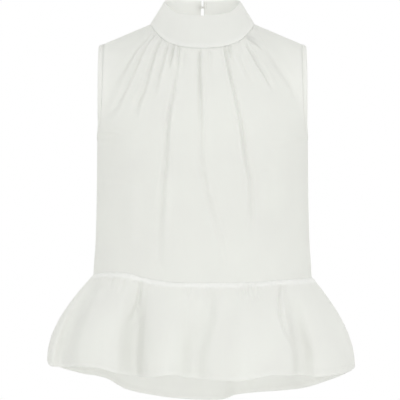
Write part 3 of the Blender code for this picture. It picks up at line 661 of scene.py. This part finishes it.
peplum = {
    "hem": {
        front: {
            "angle": (-90, -78, -69, -58, -48, -40, -32, -28, -22, -14, -8, -4, 0, 6, 14, 24, 34, 43, 47,
                      56, 66, 78, 90),
            "across": (-0.257, -0.246, -0.226, -0.196, -0.162, -0.138, -0.106, -0.094, -0.078, -0.054, -0.036,
                       -0.025, -0.014, 0.004, 0.030, 0.066, 0.108, 0.142, 0.154, 0.182, 0.210, 0.238, 0.252),
            "depth": (0.000, 0.053, 0.056, 0.110, 0.130, 0.128, 0.107, 0.138, 0.158, 0.166, 0.155,
                      0.143, 0.138, 0.145, 0.157, 0.170, 0.152, 0.128, 0.104, 0.113, 0.098, 0.053, 0.000),
            "height": (-0.5540, -0.5592, -0.5596, -0.5548, -0.5568, -0.5640, -0.5705, -0.5700, -0.5680,
                       -0.5640, -0.5660, -0.5700, -0.5712, -0.5725, -0.5738, -0.5725, -0.5665, -0.5680,
                       -0.5690, -0.5708, -0.5700, -0.5680, -0.5650)},
        back: {
            "angle": (-90, -76, -62, -50, -40, -28, -14, 0, 12, 20, 30, 42, 54, 66, 78, 90),
            "across": (-0.257, -0.242, -0.205, -0.166, -0.133, -0.088, -0.044, 0.004, 0.038, 0.058,
                       0.092, 0.138, 0.174, 0.206, 0.239, 0.252),
            "depth": (0.000, 0.052, 0.100, 0.116, 0.146, 0.163, 0.153, 0.167, 0.160, 0.143,
                      0.155, 0.147, 0.119, 0.103, 0.052, 0.000),
            "height": (-0.5540, -0.5680, -0.5830, -0.5920, -0.6130, -0.6250, -0.6300, -0.6340, -0.6320,
                       -0.6230, -0.6200, -0.6160, -0.6090, -0.5980, -0.5800, -0.5650)}},
    "columns": 360,
    "rows": 66,
    "seamRows": 12,          # more rows, close together in the head's share of the drop
    "headShare": 0.09,
    "flare": 0.9,            # how roundly it swings out
    "cloth": 0.0012,
    "hemCloth": 0.0007,      # what the turned hem adds
    "quietSide": 8.0,        # degrees beside the side seams where folds die away
    "heldHead": (0.3, 0.008),       # what is left of a fold at the waist seam, and where it is whole
    "seamPuff": 0.0020,      # reach of the swelling that meets the panel's foot
    "puff": (0.0011, 0.0052, 0.0045),    # the band that swells out under the seam: height, place and reach
    "sideSeam": (0.0005, 0.8),      # its groove: depth, and half width in degrees
    "ripples": ((0.045, 3.3, 0.00030), (0.050, 0.6, 0.00012)),
    "allowance": 0.0090,     # the seam's turned-down edge, which backs the cloth under the seam
    "allowanceEdge": 0.0025,        # and how softly it ends
    "hemFold": 0.0080,
    "hemEdge": 0.001,
    "hemStitched": 0.0015,   # from the turned hem's edge to its stitches
    "hemGroove": (0.00035, 0.0012),
    "backedHem": 0.12,
    "gathers": {"seed": 11, "count": 34, "across": 172.0, "shift": 1.6, "length": (0.012, 0.042),
                "deep": (0.0005, 0.0014), "slant": 40, "wide": (1.3, 2.3),    # angles in degrees
                "start": (0.002, 0.35)},        # how soon and how deep they begin at the seam
}

peplumFolds = {
    front: (
        (((-100, -424), (-101, -438), (-103, -452), (-107, -468), (-116, -488)),
         (2.6, 3, 4, 6), (2.6, 4, 3.6, 1.4), 0.3),
        (((6, -424), (13, -446), (9, -472), (0, -500), (-9, -530), (-13, -575)),
         (6, 9, 11, 13, 14), (2, 4.8, 5.6, 4.6, 3), 0),
        (((126, -430), (123, -448), (126, -476), (134, -498), (147, -522)),
         (2.4, 3, 4, 6), (2.6, 3.6, 3.2, 1.2), 0.4),
        (((136, -478), (150, -505), (162, -530), (172, -556)), (8, 12, 14), (1.2, 2.6, 2.6, 1), 0),
        (((-172, -425), (-190, -456), (-203, -482), (-213, -508), (-222, -545)),
         (7, 10, 12, 12), (1.6, 3.6, 4.2, 3), 0),
        (((62, -426), (66, -455)), (2.6, 4), (2.2, 0.6), 0),
        (((71, -426), (76, -464)), (2.6, 4.2), (2.4, 0.6), 0),
        (((80, -427), (85, -456)), (2.6, 4), (2, 0.6), 0),
        (((90, -428), (94, -450)), (2.6, 4), (1.8, 0.5), 0),
        (((-146, -418), (-150, -440)), (2.8, 4), (1.8, 0.5), 0),
        (((-128, -420), (-134, -446)), (2.8, 4), (1.8, 0.5), 0),
        (((-24, -426), (-27, -462)), (3, 5), (1.4, 0.5), 0)),
    back: (
        (((-70, -430), (-78, -480), (-76, -560)), (4, 7, 11), (2.6, 2.4, 1), 0.3),
        (((20, -430), (34, -480), (52, -570)), (4, 7, 11), (2.6, 2.6, 1), -0.3),
        (((120, -430), (140, -480), (164, -550)), (4, 7, 11), (2.4, 2.2, 0.8), 0),
        (((-120, -430), (-140, -480), (-166, -550)), (4, 7, 11), (2.2, 2.2, 0.8), 0)),
}


def headGathers(angle, below, side):    # small uneven gathers that the seam holds
    gathers = peplum["gathers"]
    random = np.random.default_rng(gathers["seed"] + int(side))
    soon, begun = gathers["start"]
    pressed = np.zeros_like(angle)
    for index in range(gathers["count"]):
        place = gathers["across"] * ((index + 0.5) / gathers["count"] - 0.5)
        place += random.uniform(-gathers["shift"], gathers["shift"])
        length = random.uniform(*gathers["length"])
        deep = random.uniform(*gathers["deep"])
        turned = angle - place - random.uniform(-gathers["slant"], gathers["slant"]) * below
        wide = random.uniform(*gathers["wide"])
        pressed += (deep * bump(turned / wide) * smoothStep(1.0 - below / length)
                    * smoothStep(below / soon + begun))
    return pressed


def peplumSurface(side):
    table = peplum["hem"][side]
    drops = np.concatenate((np.linspace(0.0, peplum["headShare"], peplum["seamRows"], endpoint=False),
                            np.linspace(peplum["headShare"], 1.0, peplum["rows"])))
    angle, drop = np.meshgrid(np.linspace(-90.0, 90.0, peplum["columns"] + 1), drops)
    waist = chestSection(angle / 90.0, np.full_like(angle, lastRow), side)
    waist[..., 2] = readTable(worn["waistShare"], worn["waistHeight"], angle / 90.0)
    hem = np.stack((readTable(table["angle"], table["across"], angle),
                    side * readTable(table["angle"], table["depth"], angle),
                    readTable(table["angle"], table["height"], angle)), axis=-1)
    flare = np.sin(math.pi / 2 * drop)**peplum["flare"]
    points = waist + (hem - waist) * np.stack((flare, flare, drop), axis=-1)
    walls = gridNormals(points, side)
    below, fromHem = fromRow(points, 0), fromRow(points, -1)
    toSeam = 90.0 - np.abs(angle)
    quiet = smoothStep(toSeam / peplum["quietSide"])
    pressed = pressFolds(points, peplumFolds[side]) * quiet * easeIn(below, *peplum["heldHead"])
    pressed += headGathers(angle, below, side) * quiet
    pressed -= panel["seamPuff"] * bump(below / peplum["seamPuff"])
    high, place, reach = peplum["puff"]
    pressed -= high * bump((below - place) / reach)
    deep, reach = peplum["sideSeam"]
    pressed += deep * bump(toSeam / reach)
    pressed += ripples(points, side, *peplum["ripples"]) * quiet
    deep, reach = peplum["hemGroove"]
    pressed += deep * bump((fromHem - peplum["hemFold"]) / reach)
    points -= walls * pressed[..., None]
    turnedUp = smoothStep((peplum["hemFold"] - fromHem) / peplum["hemEdge"] + 0.5)
    thickness = peplum["cloth"] + peplum["hemCloth"] * turnedUp
    walls = gridNormals(points, side)
    walls[0, :, 2] = 0.0
    points[0, :, 2] -= seam["gap"] / 2
    sewSides(points, walls, side)
    return points, unit(walls), thickness


def makePeplum(name, side, replaced):
    points, walls, thickness = peplumSurface(side)
    middleColumn = points[:, [peplum["columns"] // 2]]
    underSeam = smoothStep((peplum["allowance"] - fromRow(middleColumn, 0)) / peplum["allowanceEdge"])
    turnedUp = smoothStep((peplum["hemFold"] - fromRow(middleColumn, -1)) / peplum["hemEdge"])
    backed = np.maximum(underSeam, peplum["backedHem"] * turnedUp)
    shell = clothShell(points, walls, thickness, backed, roundFoot=True, sewnSides=True)
    return finishPiece(name, [shell], clothFinish, replaced), (points, walls, float(thickness[-1].max()))


peplumFront, frontHem = makePeplum("peplumFront", front, "peplum_front")
peplumBack, backHem = makePeplum("peplumBack", back, "peplum_back")
print("peplum made")


# the stand collar of doubled cloth, split at the centre back

collar = {
    "cloth": 0.0018,
    "topHalfWidth": 0.0627,
    "topHalfDepth": 0.060,
    "angle": (0, 25, 46, 66, 90, 130, 180),
    "height": (0.0090, 0.0115, 0.0170, 0.0275, 0.0379, 0.0430, 0.0440),
    "slitRise": (0.0, 0.25, 0.50, 0.73, 0.80, 1.0),
    "slitHalfWidth": (0.0033, 0.0031, 0.0027, 0.0026, 0.0015, 0.0017),
    "backed": 0.12,          # its doubled cloth lets less light through
    "footBacked": (0.4, 0.0110, 0.0060),    # more where its seam is turned up: share, height and reach
    "proud": 0.0003,         # how far it stands over the panels
    "proudReach": 0.007,
    "puff": (0.0004, 0.0055, 0.0060),    # the swelling over its seam: height, place and reach
    "roll": (0.0002, 0.002),             # and the fold along its top: depth and reach
    "perDegree": 0.0013,     # about the length round it, in metres
    "ripple": (0.016, 5.2, 0.00022, 0.03),    # pitch, seed, height, and how far above the seam it dies away
    "drape": (0.045, 2.2, 0.00030, 0.05),     # pitch, seed, height, and how little it changes up the collar
    "columns": 300,
    "rows": 34,
}


def collarAngle(across, rise):    # the angle of a point behind, from its distance to the middle
    radius = worn["neckHalfWidth"] + (collar["topHalfWidth"] - worn["neckHalfWidth"]) * rise
    return 180.0 - np.degrees(np.abs(across) / radius)


def collarPoints(angle, rise):
    inFront = np.abs(angle) <= 90.0
    behind = np.sign(angle) * (180.0 - np.abs(angle))
    frontSeam, frontWall, frontUp = neckRing(np.where(inFront, angle, 0.0), front)
    backSeam, backWall, backUp = neckRing(np.where(inFront, 0.0, behind), back)
    pick = inFront[..., None]
    foot = np.where(pick, frontSeam + frontUp * seam["gap"] / 2, backSeam + backUp * seam["gap"] / 2)
    turn = np.radians(angle)
    topEdge = np.stack((collar["topHalfWidth"] * np.sin(turn), -collar["topHalfDepth"] * np.cos(turn),
                        readTable(collar["angle"], collar["height"], np.abs(angle))), axis=-1)
    return foot + (topEdge - foot) * rise[..., None], np.where(pick, frontWall, backWall)


def makeCollar():
    rise, share = np.meshgrid(np.linspace(1.0, 0.0, collar["rows"]),
                              np.linspace(-1.0, 1.0, collar["columns"] + 1), indexing="ij")
    slit = np.interp(rise, collar["slitRise"], collar["slitHalfWidth"])
    angle = share * collarAngle(slit, rise)
    points, seamWalls = collarPoints(angle, rise)
    walls = gridNormals(points, front)
    down, up = fromRow(points, 0), fromRow(points, -1)
    high, place, reach = collar["puff"]
    pressed = collar["roll"][0] * bump(down / collar["roll"][1]) - high * bump((up - place) / reach)
    around = angle * collar["perDegree"]
    pitch, seed, high, reach = collar["ripple"]
    pressed += wave(rise, around, pitch, seed) * high * smoothStep(1.0 - up / reach)
    pitch, seed, high, change = collar["drape"]
    pressed += wave(rise * change, around, pitch, seed) * high
    points -= walls * pressed[..., None]
    walls = gridNormals(points, front)
    walls[-1] = seamWalls[-1]
    points += walls * (collar["proud"] * smoothStep(up / collar["proudReach"]))[..., None]
    more, height, reach = collar["footBacked"]
    return points, walls, collar["backed"] + more * smoothStep((height - up) / reach)


collarOuter, collarWalls, collarBacked = makeCollar()
collarShell = clothShell(collarOuter, collarWalls, collar["cloth"], collarBacked, roundHead=True)
collarBand = finishPiece("collarBand", [collarShell], clothFinish, "collar")
print("collar made")


# the armholes' bias bindings

binding = {
    "cloth": 0.0020,         # folded, so doubled
    "width": 0.0081,
    "tuck": 0.0003,          # it starts this far beyond the armhole's edge
    "sunk": 0.0002,          # its stitched edge lies this far under the panel's face
    "puff": 0.0005,
    "pull": (0.011, 0.00012, 1.3),    # the uneven pull of its stitches: pitch, height and seed
    "backed": 0.12,
    "steps": 10,
    "rows": 14,
    "stitched": 0.0016,      # from its outer edge to its stitches
}


def closedCurve(points, steps):    # a smooth ring through its points
    ring = []
    for index in range(len(points)):
        before, start, end, after = (points[(index + shift) % len(points)] for shift in (-1, 0, 1, 2))
        for t in np.arange(steps) / steps:
            ring.append(0.5 * (2 * start + (end - before) * t
                               + (2 * before - 5 * start + 4 * end - after) * t**2
                               + (3 * start - before - 3 * end + after) * t**3))
    return np.array(ring)


def armholeLoop(hand):    # the panels' edges round one armhole, down the front and up the back
    loop, walls = [], []
    last = worn["armholeRows"]
    rows = np.arange(0.0, last + 1.0)
    shares = (-1.0, -0.99, 0.99, 1.0)    # each edge, with a column beside it for the way out of the cloth
    for side, order in ((front, range(last + 1)), (back, range(last - 1, 0, -1))):
        points, directions, _ = plainPanel(*np.meshgrid(shares, rows), side)
        column = -1 if hand > 0 else 0
        for row in order:
            place, wall = points[row, column].copy(), directions[row, column].copy()
            if row == last:
                place[1] = 0.0
                wall = np.array((float(hand), 0.0, 0.0))
            loop.append(place)
            walls.append(wall)
    return closedCurve(loop, binding["steps"]), unit(closedCurve(walls, binding["steps"]))


def makeBinding(name, hand, replaced):
    loop, walls = armholeLoop(hand)
    along = np.roll(loop, -1, axis=0) - np.roll(loop, 1, axis=0)
    inward = unit(np.cross(walls, along) * hand)
    distance = np.cumsum(np.linalg.norm(loop - np.roll(loop, 1, axis=0), axis=1))
    pitch, height, seed = binding["pull"]
    swell = binding["puff"] + wave(distance, distance, pitch, seed * hand) * height
    strip = []
    for part in np.linspace(0.0, 1.0, binding["rows"]):
        lift = swell * math.sin(math.pi * part) - binding["sunk"] * (1.0 - part)**3
        reach = -binding["tuck"] + (binding["width"] - binding["cloth"] / 2) * part
        strip.append(loop + inward * reach + walls * lift[:, None])
    outer = np.array(strip)
    outerWalls = np.array([walls] * len(outer))
    shell = clothShell(outer, outerWalls, binding["cloth"], binding["backed"], closed=True, roundFoot=True)
    return finishPiece(name, [shell], biasFinish, replaced), (outer, outerWalls, binding["cloth"])


bindingLeft, leftStrip = makeBinding("armholeBindingLeft", -1, "armhole_binding_left")
bindingRight, rightStrip = makeBinding("armholeBindingRight", 1, "armhole_binding_right")
print("bindings made")


# the button and its thread loop at the back of the collar

button = {
    "across": -0.0058,
    "height": 0.0336,
    "clearance": 0.0004,
    "sides": 64,
    "profile": ((0.0, 0.0), (1.3, 0.0), (1.3, 1.5), (1.6, 1.85), (4.2, 1.9), (4.65, 2.0), (4.92, 2.3),
                (5.0, 2.8), (4.94, 3.25), (4.72, 3.65), (4.4, 3.84), (4.05, 3.86), (3.75, 3.74), (3.5, 3.56),
                (3.1, 3.44), (2.2, 3.4), (1.1, 3.46), (0.0, 3.5)),    # millimetres: radius, height
}


def collarBackPlace(across, height):    # a point of the collar's outer face behind, and the way out of it
    foot = worn["neckline"][back]["height"][0]
    rise = (height - foot) / (collar["height"][-1] - foot)
    angle = math.copysign(collarAngle(across, rise), across)
    aside, above = angle - math.copysign(2.0, angle), rise + 0.1    # two points near it give the way out
    point, beside, over = (collarPoints(np.array([turn]), np.array([up]))[0][0]
                           for turn, up in ((angle, rise), (aside, rise), (angle, above)))
    out = np.cross(beside - point, over - point)
    return point, unit(out if out[1] > 0.0 else -out)


def makeButton():
    point, out = collarBackPlace(button["across"], button["height"])
    side = unit(np.cross((0.0, 0.0, 1.0), out))
    up = np.cross(out, side)
    profile = np.array(button["profile"]) / millimetres
    turn = np.linspace(0.0, math.tau, button["sides"], endpoint=False)[:, None]
    spokes = side * np.cos(turn) + up * np.sin(turn)
    start = point + out * button["clearance"]
    vertices = [start + out * profile[0, 1]]
    for radius, height in profile[1:-1]:
        vertices += list(start + spokes * radius + out * height)
    vertices.append(start + out * profile[-1, 1])
    sides, rings = button["sides"], len(profile) - 2
    faces = []
    for step in range(sides):
        after = (step + 1) % sides
        faces.append((0, 1 + after, 1 + step))
        for low in range(1, 1 + (rings - 1) * sides, sides):
            faces.append((low + step, low + after, low + sides + after, low + sides + step))
        top = 1 + (rings - 1) * sides
        faces.append((top + step, top + after, len(vertices) - 1))
    vertices = np.array(vertices)
    shell = (vertices, outward(vertices, faces), np.zeros(len(vertices)))
    return finishPiece("collarButton", [shell], resinFinish, "collar_button")


loopCord = {
    "path": ((5.4, 0.7), (4.5, 0.7), (2.5, 0.7), (0.0, 0.8), (-2.5, 1.4), (-4.5, 2.2), (-6.5, 2.3),
             (-7.8, 1.2), (-8.0, 0.0), (-7.8, -1.2), (-6.5, -2.3), (-4.5, -2.2), (-2.5, -1.4), (0.0, -0.8),
             (2.5, -0.7), (4.5, -0.7), (5.4, -0.7)),    # millimetres across and above the button's middle
    "height": 0.00096,       # the loop's middle over the collar
    "ply": 0.00034,          # radius of each of the two threads
    "twist": 0.0019,         # length of one turn of the two threads
    "sunk": 0.0012,          # its ends go in through the cloth
    "steps": 14,
    "sides": 8,
}


def makeLoop():
    centres, outs = [], []
    last = len(loopCord["path"]) - 1
    for index, (across, above) in enumerate(loopCord["path"]):
        point, out = collarBackPlace(across / millimetres, button["height"] + above / millimetres)
        sunk = loopCord["sunk"] if index in (0, last) else 0.0
        centres.append(point + out * (loopCord["height"] - sunk))
        outs.append(out)
    fine = np.linspace(0.0, last, last * loopCord["steps"] + 1)
    line, out = (np.stack([readTable(range(last + 1), column, fine) for column in np.array(coarse).T],
                          axis=-1) for coarse in (centres, outs))
    way = unit(np.gradient(line, axis=0))
    side = unit(np.cross(way, unit(out)))
    out = np.cross(side, way)
    run = runLength(line)
    sides, ply = loopCord["sides"], loopCord["ply"]
    shells = []
    for start in (0.0, math.pi):
        twist = (run / loopCord["twist"] * math.tau + start)[:, None]
        strand = line + (side * np.cos(twist) + out * np.sin(twist)) * ply
        rings = [strand + (side * math.cos(turn) + out * math.sin(turn)) * ply
                 for turn in (math.tau * k / sides for k in range(sides))]
        vertices = np.stack(rings, axis=1).reshape(-1, 3)
        faces = [(r + k, r + (k + 1) % sides, r + sides + (k + 1) % sides, r + sides + k)
                 for r in range(0, (len(line) - 1) * sides, sides) for k in range(sides)]
        end = (len(line) - 1) * sides
        faces += [tuple(range(sides))[::-1], tuple(range(end, end + sides))]
        shells.append((vertices, outward(vertices, faces), np.zeros(len(vertices))))
    # the loop's greyer thread is partly painted shade
    return finishPiece("buttonLoop", shells, cordFinishPaintedShade, "button_loop")


collarButton = makeButton()
buttonLoop = makeLoop()
print("button and loop made")


# lockstitches: one Geometry Nodes tree lays them along any run of points on the cloth

stitch = {
    "pitch": 0.0026,
    "length": 0.0020,
    "thread": 0.00030,
    "uneven": 0.10,          # how much shorter some are, as a share
    "seed": 7,
    "proud": 0.00005,        # over the cloth
    "bead": {"Segments": 6, "Rings": 4, "Radius": 0.5},
}


def stitchTree():
    tree = bpy.data.node_groups.new("runOfStitches", "GeometryNodeTree")
    for label, kind in (("Run", "Geometry"), ("Pitch", "Float"), ("Length", "Float"), ("Thread", "Float"),
                        ("Uneven", "Float"), ("Seed", "Int"), ("Finish", "Material")):
        tree.interface.new_socket(label, in_out="INPUT", socket_type="NodeSocket" + kind)
    tree.interface.new_socket("Stitches", in_out="OUTPUT", socket_type="NodeSocketGeometry")
    given = tree.nodes.new("NodeGroupInput").outputs
    curve = addNode(tree, "GeometryNodeMeshToCurve", None, {"Mesh": given["Run"]})
    even = addNode(tree, "GeometryNodeResampleCurve", {"mode": "LENGTH"},
                   {"Curve": curve.outputs["Curve"], "Length": given["Pitch"]})
    bead = addNode(tree, "GeometryNodeMeshUVSphere", stitch["bead"])
    tangent = addNode(tree, "GeometryNodeInputTangent")
    turned = addNode(tree, "FunctionNodeAlignRotationToVector", {"axis": "Z"}, {"Vector": tangent.outputs[0]})
    least = addNode(tree, "ShaderNodeMath", {"operation": "SUBTRACT", 0: 1.0}, {1: given["Uneven"]})
    drawn = addNode(tree, "FunctionNodeRandomValue", {"data_type": "FLOAT", 3: 1.0},
                    {2: least.outputs[0], "Seed": given["Seed"]})
    long = addNode(tree, "ShaderNodeMath", {"operation": "MULTIPLY"},
                   {0: given["Length"], 1: drawn.outputs[1]})
    size = addNode(tree, "ShaderNodeCombineXYZ", None,
                   {"X": given["Thread"], "Y": given["Thread"], "Z": long.outputs[0]})
    placed = addNode(tree, "GeometryNodeInstanceOnPoints", None,
                     {"Points": even.outputs["Curve"], "Instance": bead.outputs["Mesh"],
                      "Rotation": turned.outputs["Rotation"], "Scale": size.outputs["Vector"]})
    real = addNode(tree, "GeometryNodeRealizeInstances", None, {"Geometry": placed.outputs["Instances"]})
    soft = addNode(tree, "GeometryNodeSetShadeSmooth", None, {"Geometry": real.outputs["Geometry"]})
    finished = addNode(tree, "GeometryNodeSetMaterial", None,
                       {"Geometry": soft.outputs["Geometry"], "Material": given["Finish"]})
    addNode(tree, "NodeGroupOutput", None, {"Stitches": finished.outputs["Geometry"]})
    return tree


stitches = stitchTree()


def sewRuns(name, runs, finish=threadFinish, thread=stitch["thread"]):    # runs: (points, closed)
    vertices, edges = [], []
    for points, closed in runs:
        first, count = len(vertices), len(points)
        vertices += [tuple(point) for point in points]
        edges += [(first + i, first + (i + 1) % count) for i in range(count if closed else count - 1)]
    data = bpy.data.meshes.new(name + "Run")
    data.from_pydata(vertices, edges, [])
    run = linkObject(name + "Run", data)
    modifier = run.modifiers.new("stitches", "NODES")
    modifier.node_group = stitches
    given = {"Pitch": stitch["pitch"], "Length": stitch["length"], "Thread": thread,
             "Uneven": stitch["uneven"], "Seed": stitch["seed"], "Finish": finish}
    for item in stitches.interface.items_tree:
        if item.item_type == "SOCKET" and item.in_out == "INPUT" and item.name in given:
            modifier[item.identifier] = given[item.name]
    sewn = run.evaluated_get(bpy.context.evaluated_depsgraph_get())
    made = bpy.data.meshes.new_from_object(sewn)
    made.name = name
    run.modifiers.clear()
    bpy.data.objects.remove(run)
    piece = linkObject(name, made)
    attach(piece, "root")
    return piece


def lineFrom(points, walls, edge, reach, over):    # a line at reach from the first or last row
    points, walls = (points, walls) if edge == 0 else (points[::-1], walls[::-1])
    apart = runLength(points)
    line = []
    for column in range(points.shape[1]):
        place = [np.interp(reach, apart[:, column], points[:, column, axis]) for axis in range(3)]
        row = np.searchsorted(apart[:, column], reach)
        line.append(np.array(place) + walls[row, column] * over)
    return np.array(line)


def sewThrough(name, strip, edge, reach, closed):    # one line of stitches that shows on both faces
    points, walls, cloth = strip
    lines = [lineFrom(points, walls, edge, reach, over)
             for over in (stitch["proud"], -cloth - stitch["proud"])]
    return sewRuns(name, [(line if closed else line[1:-1], closed) for line in lines])


hemLine = peplum["hemFold"] - peplum["hemStitched"]
hemStitchesFront = sewThrough("hemStitchesFront", frontHem, -1, hemLine, False)
hemStitchesBack = sewThrough("hemStitchesBack", backHem, -1, hemLine, False)
bindingStitchesLeft = sewThrough("bindingStitchesLeft", leftStrip, 0, binding["stitched"], True)
bindingStitchesRight = sewThrough("bindingStitchesRight", rightStrip, 0, binding["stitched"], True)


def keyholeLine(over, beside):    # down one side of the keyhole, round its foot and up the other
    left, right = [], []
    for index in range(1, holeRows):
        row, wall = backPoints[index], backWalls[index]
        for line, edge, hand in ((left, middle - 1, -1.0), (right, middle, 1.0)):
            x = row[edge, 0] + hand * beside
            place = [np.interp(x, row[:, 0], row[:, axis]) for axis in range(3)]
            line.append(np.array(place) + wall[edge] * over)
    foot = backPoints[holeRows - 1, middle] * (0.0, 1.0, 1.0) - (0.0, 0.0, beside)
    foot += backWalls[holeRows - 1, middle] * over
    return np.array(left + [foot] + right[::-1])


keyholeStitches = sewRuns("keyholeStitches", [(keyholeLine(stitch["proud"], keyhole["stitched"]), False)])

# bar tacks inside the collar, which hold the loop's ends and the button's shank; their greyer thread is
# partly painted shade
tack = {"across": (-0.0036, 0.0036, 0.0066), "rises": np.linspace(0.80, 0.955, 6), "thread": 0.00055}
tackRuns = []
for across in tack["across"]:
    angles = np.copysign(collarAngle(across, tack["rises"]), across)
    points, walls = collarPoints(angles, tack["rises"])
    tackRuns.append((points - walls * (collar["cloth"] - collar["proud"] + stitch["proud"]), False))
collarTacks = sewRuns("collarTacks", tackRuns, cordFinishPaintedShade, tack["thread"])
print("stitches sewn")


# camera, light and floor

view = {"place": (-0.004125, -3.5, -0.2896), "lens": 190.9, "sensor": 36.0}
camera = linkObject("camera", bpy.data.cameras.new("camera"))
camera.location = view["place"]
camera.rotation_euler = (math.pi / 2, 0.0, 0.0)
camera.data.lens = view["lens"]
camera.data.sensor_width = view["sensor"]
bpy.context.scene.camera = camera
bpy.context.scene.view_settings.view_transform = "Standard"

light = {
    "level": 1.095,          # what the white studio sends from beside the blouse
    "zenith": 0.66,          # as a share of that, from overhead
    "behind": 1.38,          # and from the lit backdrop behind it,
    "behindFrom": -0.1,      # which begins here, as the direction's part away from the camera
    "key": {"place": (0.45, -3.4, 0.30), "aim": (0.0, 0.0, -0.3), "size": 2.0, "power": 26.0},
}
white = (1.0, 1.0, 1.0, 1.0)
world = bpy.data.worlds.new("whiteStudio")
bpy.context.scene.world = world
world.use_nodes = True
studio = world.node_tree
studio.nodes.clear()
paths = addNode(studio, "ShaderNodeLightPath")
direction = addNode(studio, "ShaderNodeTexCoord")
parts = addNode(studio, "ShaderNodeSeparateXYZ", None, {"Vector": direction.outputs["Generated"]})
overhead = addNode(studio, "ShaderNodeMapRange",
                   {"To Min": light["level"], "To Max": light["level"] * light["zenith"]},
                   {"Value": parts.outputs["Z"]})
backdrop = addNode(studio, "ShaderNodeMapRange",
                   {"interpolation_type": "SMOOTHSTEP", "From Min": light["behindFrom"], "From Max": 1.0,
                    "To Min": 1.0, "To Max": light["behind"]}, {"Value": parts.outputs["Y"]})
strength = addNode(studio, "ShaderNodeMath", {"operation": "MULTIPLY"},
                   {0: overhead.outputs["Result"], 1: backdrop.outputs["Result"]})
seen = addNode(studio, "ShaderNodeBackground", {"Color": white, "Strength": 1.0})
lighting = addNode(studio, "ShaderNodeBackground", {"Color": white}, {"Strength": strength.outputs["Value"]})
choice = addNode(studio, "ShaderNodeMixShader", None,
                 {"Fac": paths.outputs["Is Camera Ray"], 1: lighting.outputs[0], 2: seen.outputs[0]})
addNode(studio, "ShaderNodeOutputWorld", None, {"Surface": choice.outputs[0]})

key = light["key"]
lamp = bpy.data.lights.new("keySoftbox", "AREA")
lamp.shape = "SQUARE"
lamp.size = key["size"]
lamp.energy = key["power"]
softbox = linkObject("keySoftbox", lamp)
softbox.location = key["place"]
softbox.rotation_euler = (Vector(key["aim"]) - Vector(key["place"])).to_track_quat("-Z", "Y").to_euler()

ground = {"sides": 96, "radius": 7.5, "height": -1.4, "colour": "#F4F4F2", "roughness": 0.7}
turns = [math.tau * i / ground["sides"] for i in range(ground["sides"])]
rim = [(ground["radius"] * math.cos(turn), ground["radius"] * math.sin(turn), ground["height"])
       for turn in turns]
floorData = bpy.data.meshes.new("studioFloor")
floorData.from_pydata(rim, [], [list(range(ground["sides"]))])
floorPaint = startMaterial("paleStudioFloor", {"Base Color": linear(ground["colour"]),
                                               "Roughness": ground["roughness"]})[0]
floorData.materials.append(floorPaint)
floor = linkObject("studioFloor", floorData)
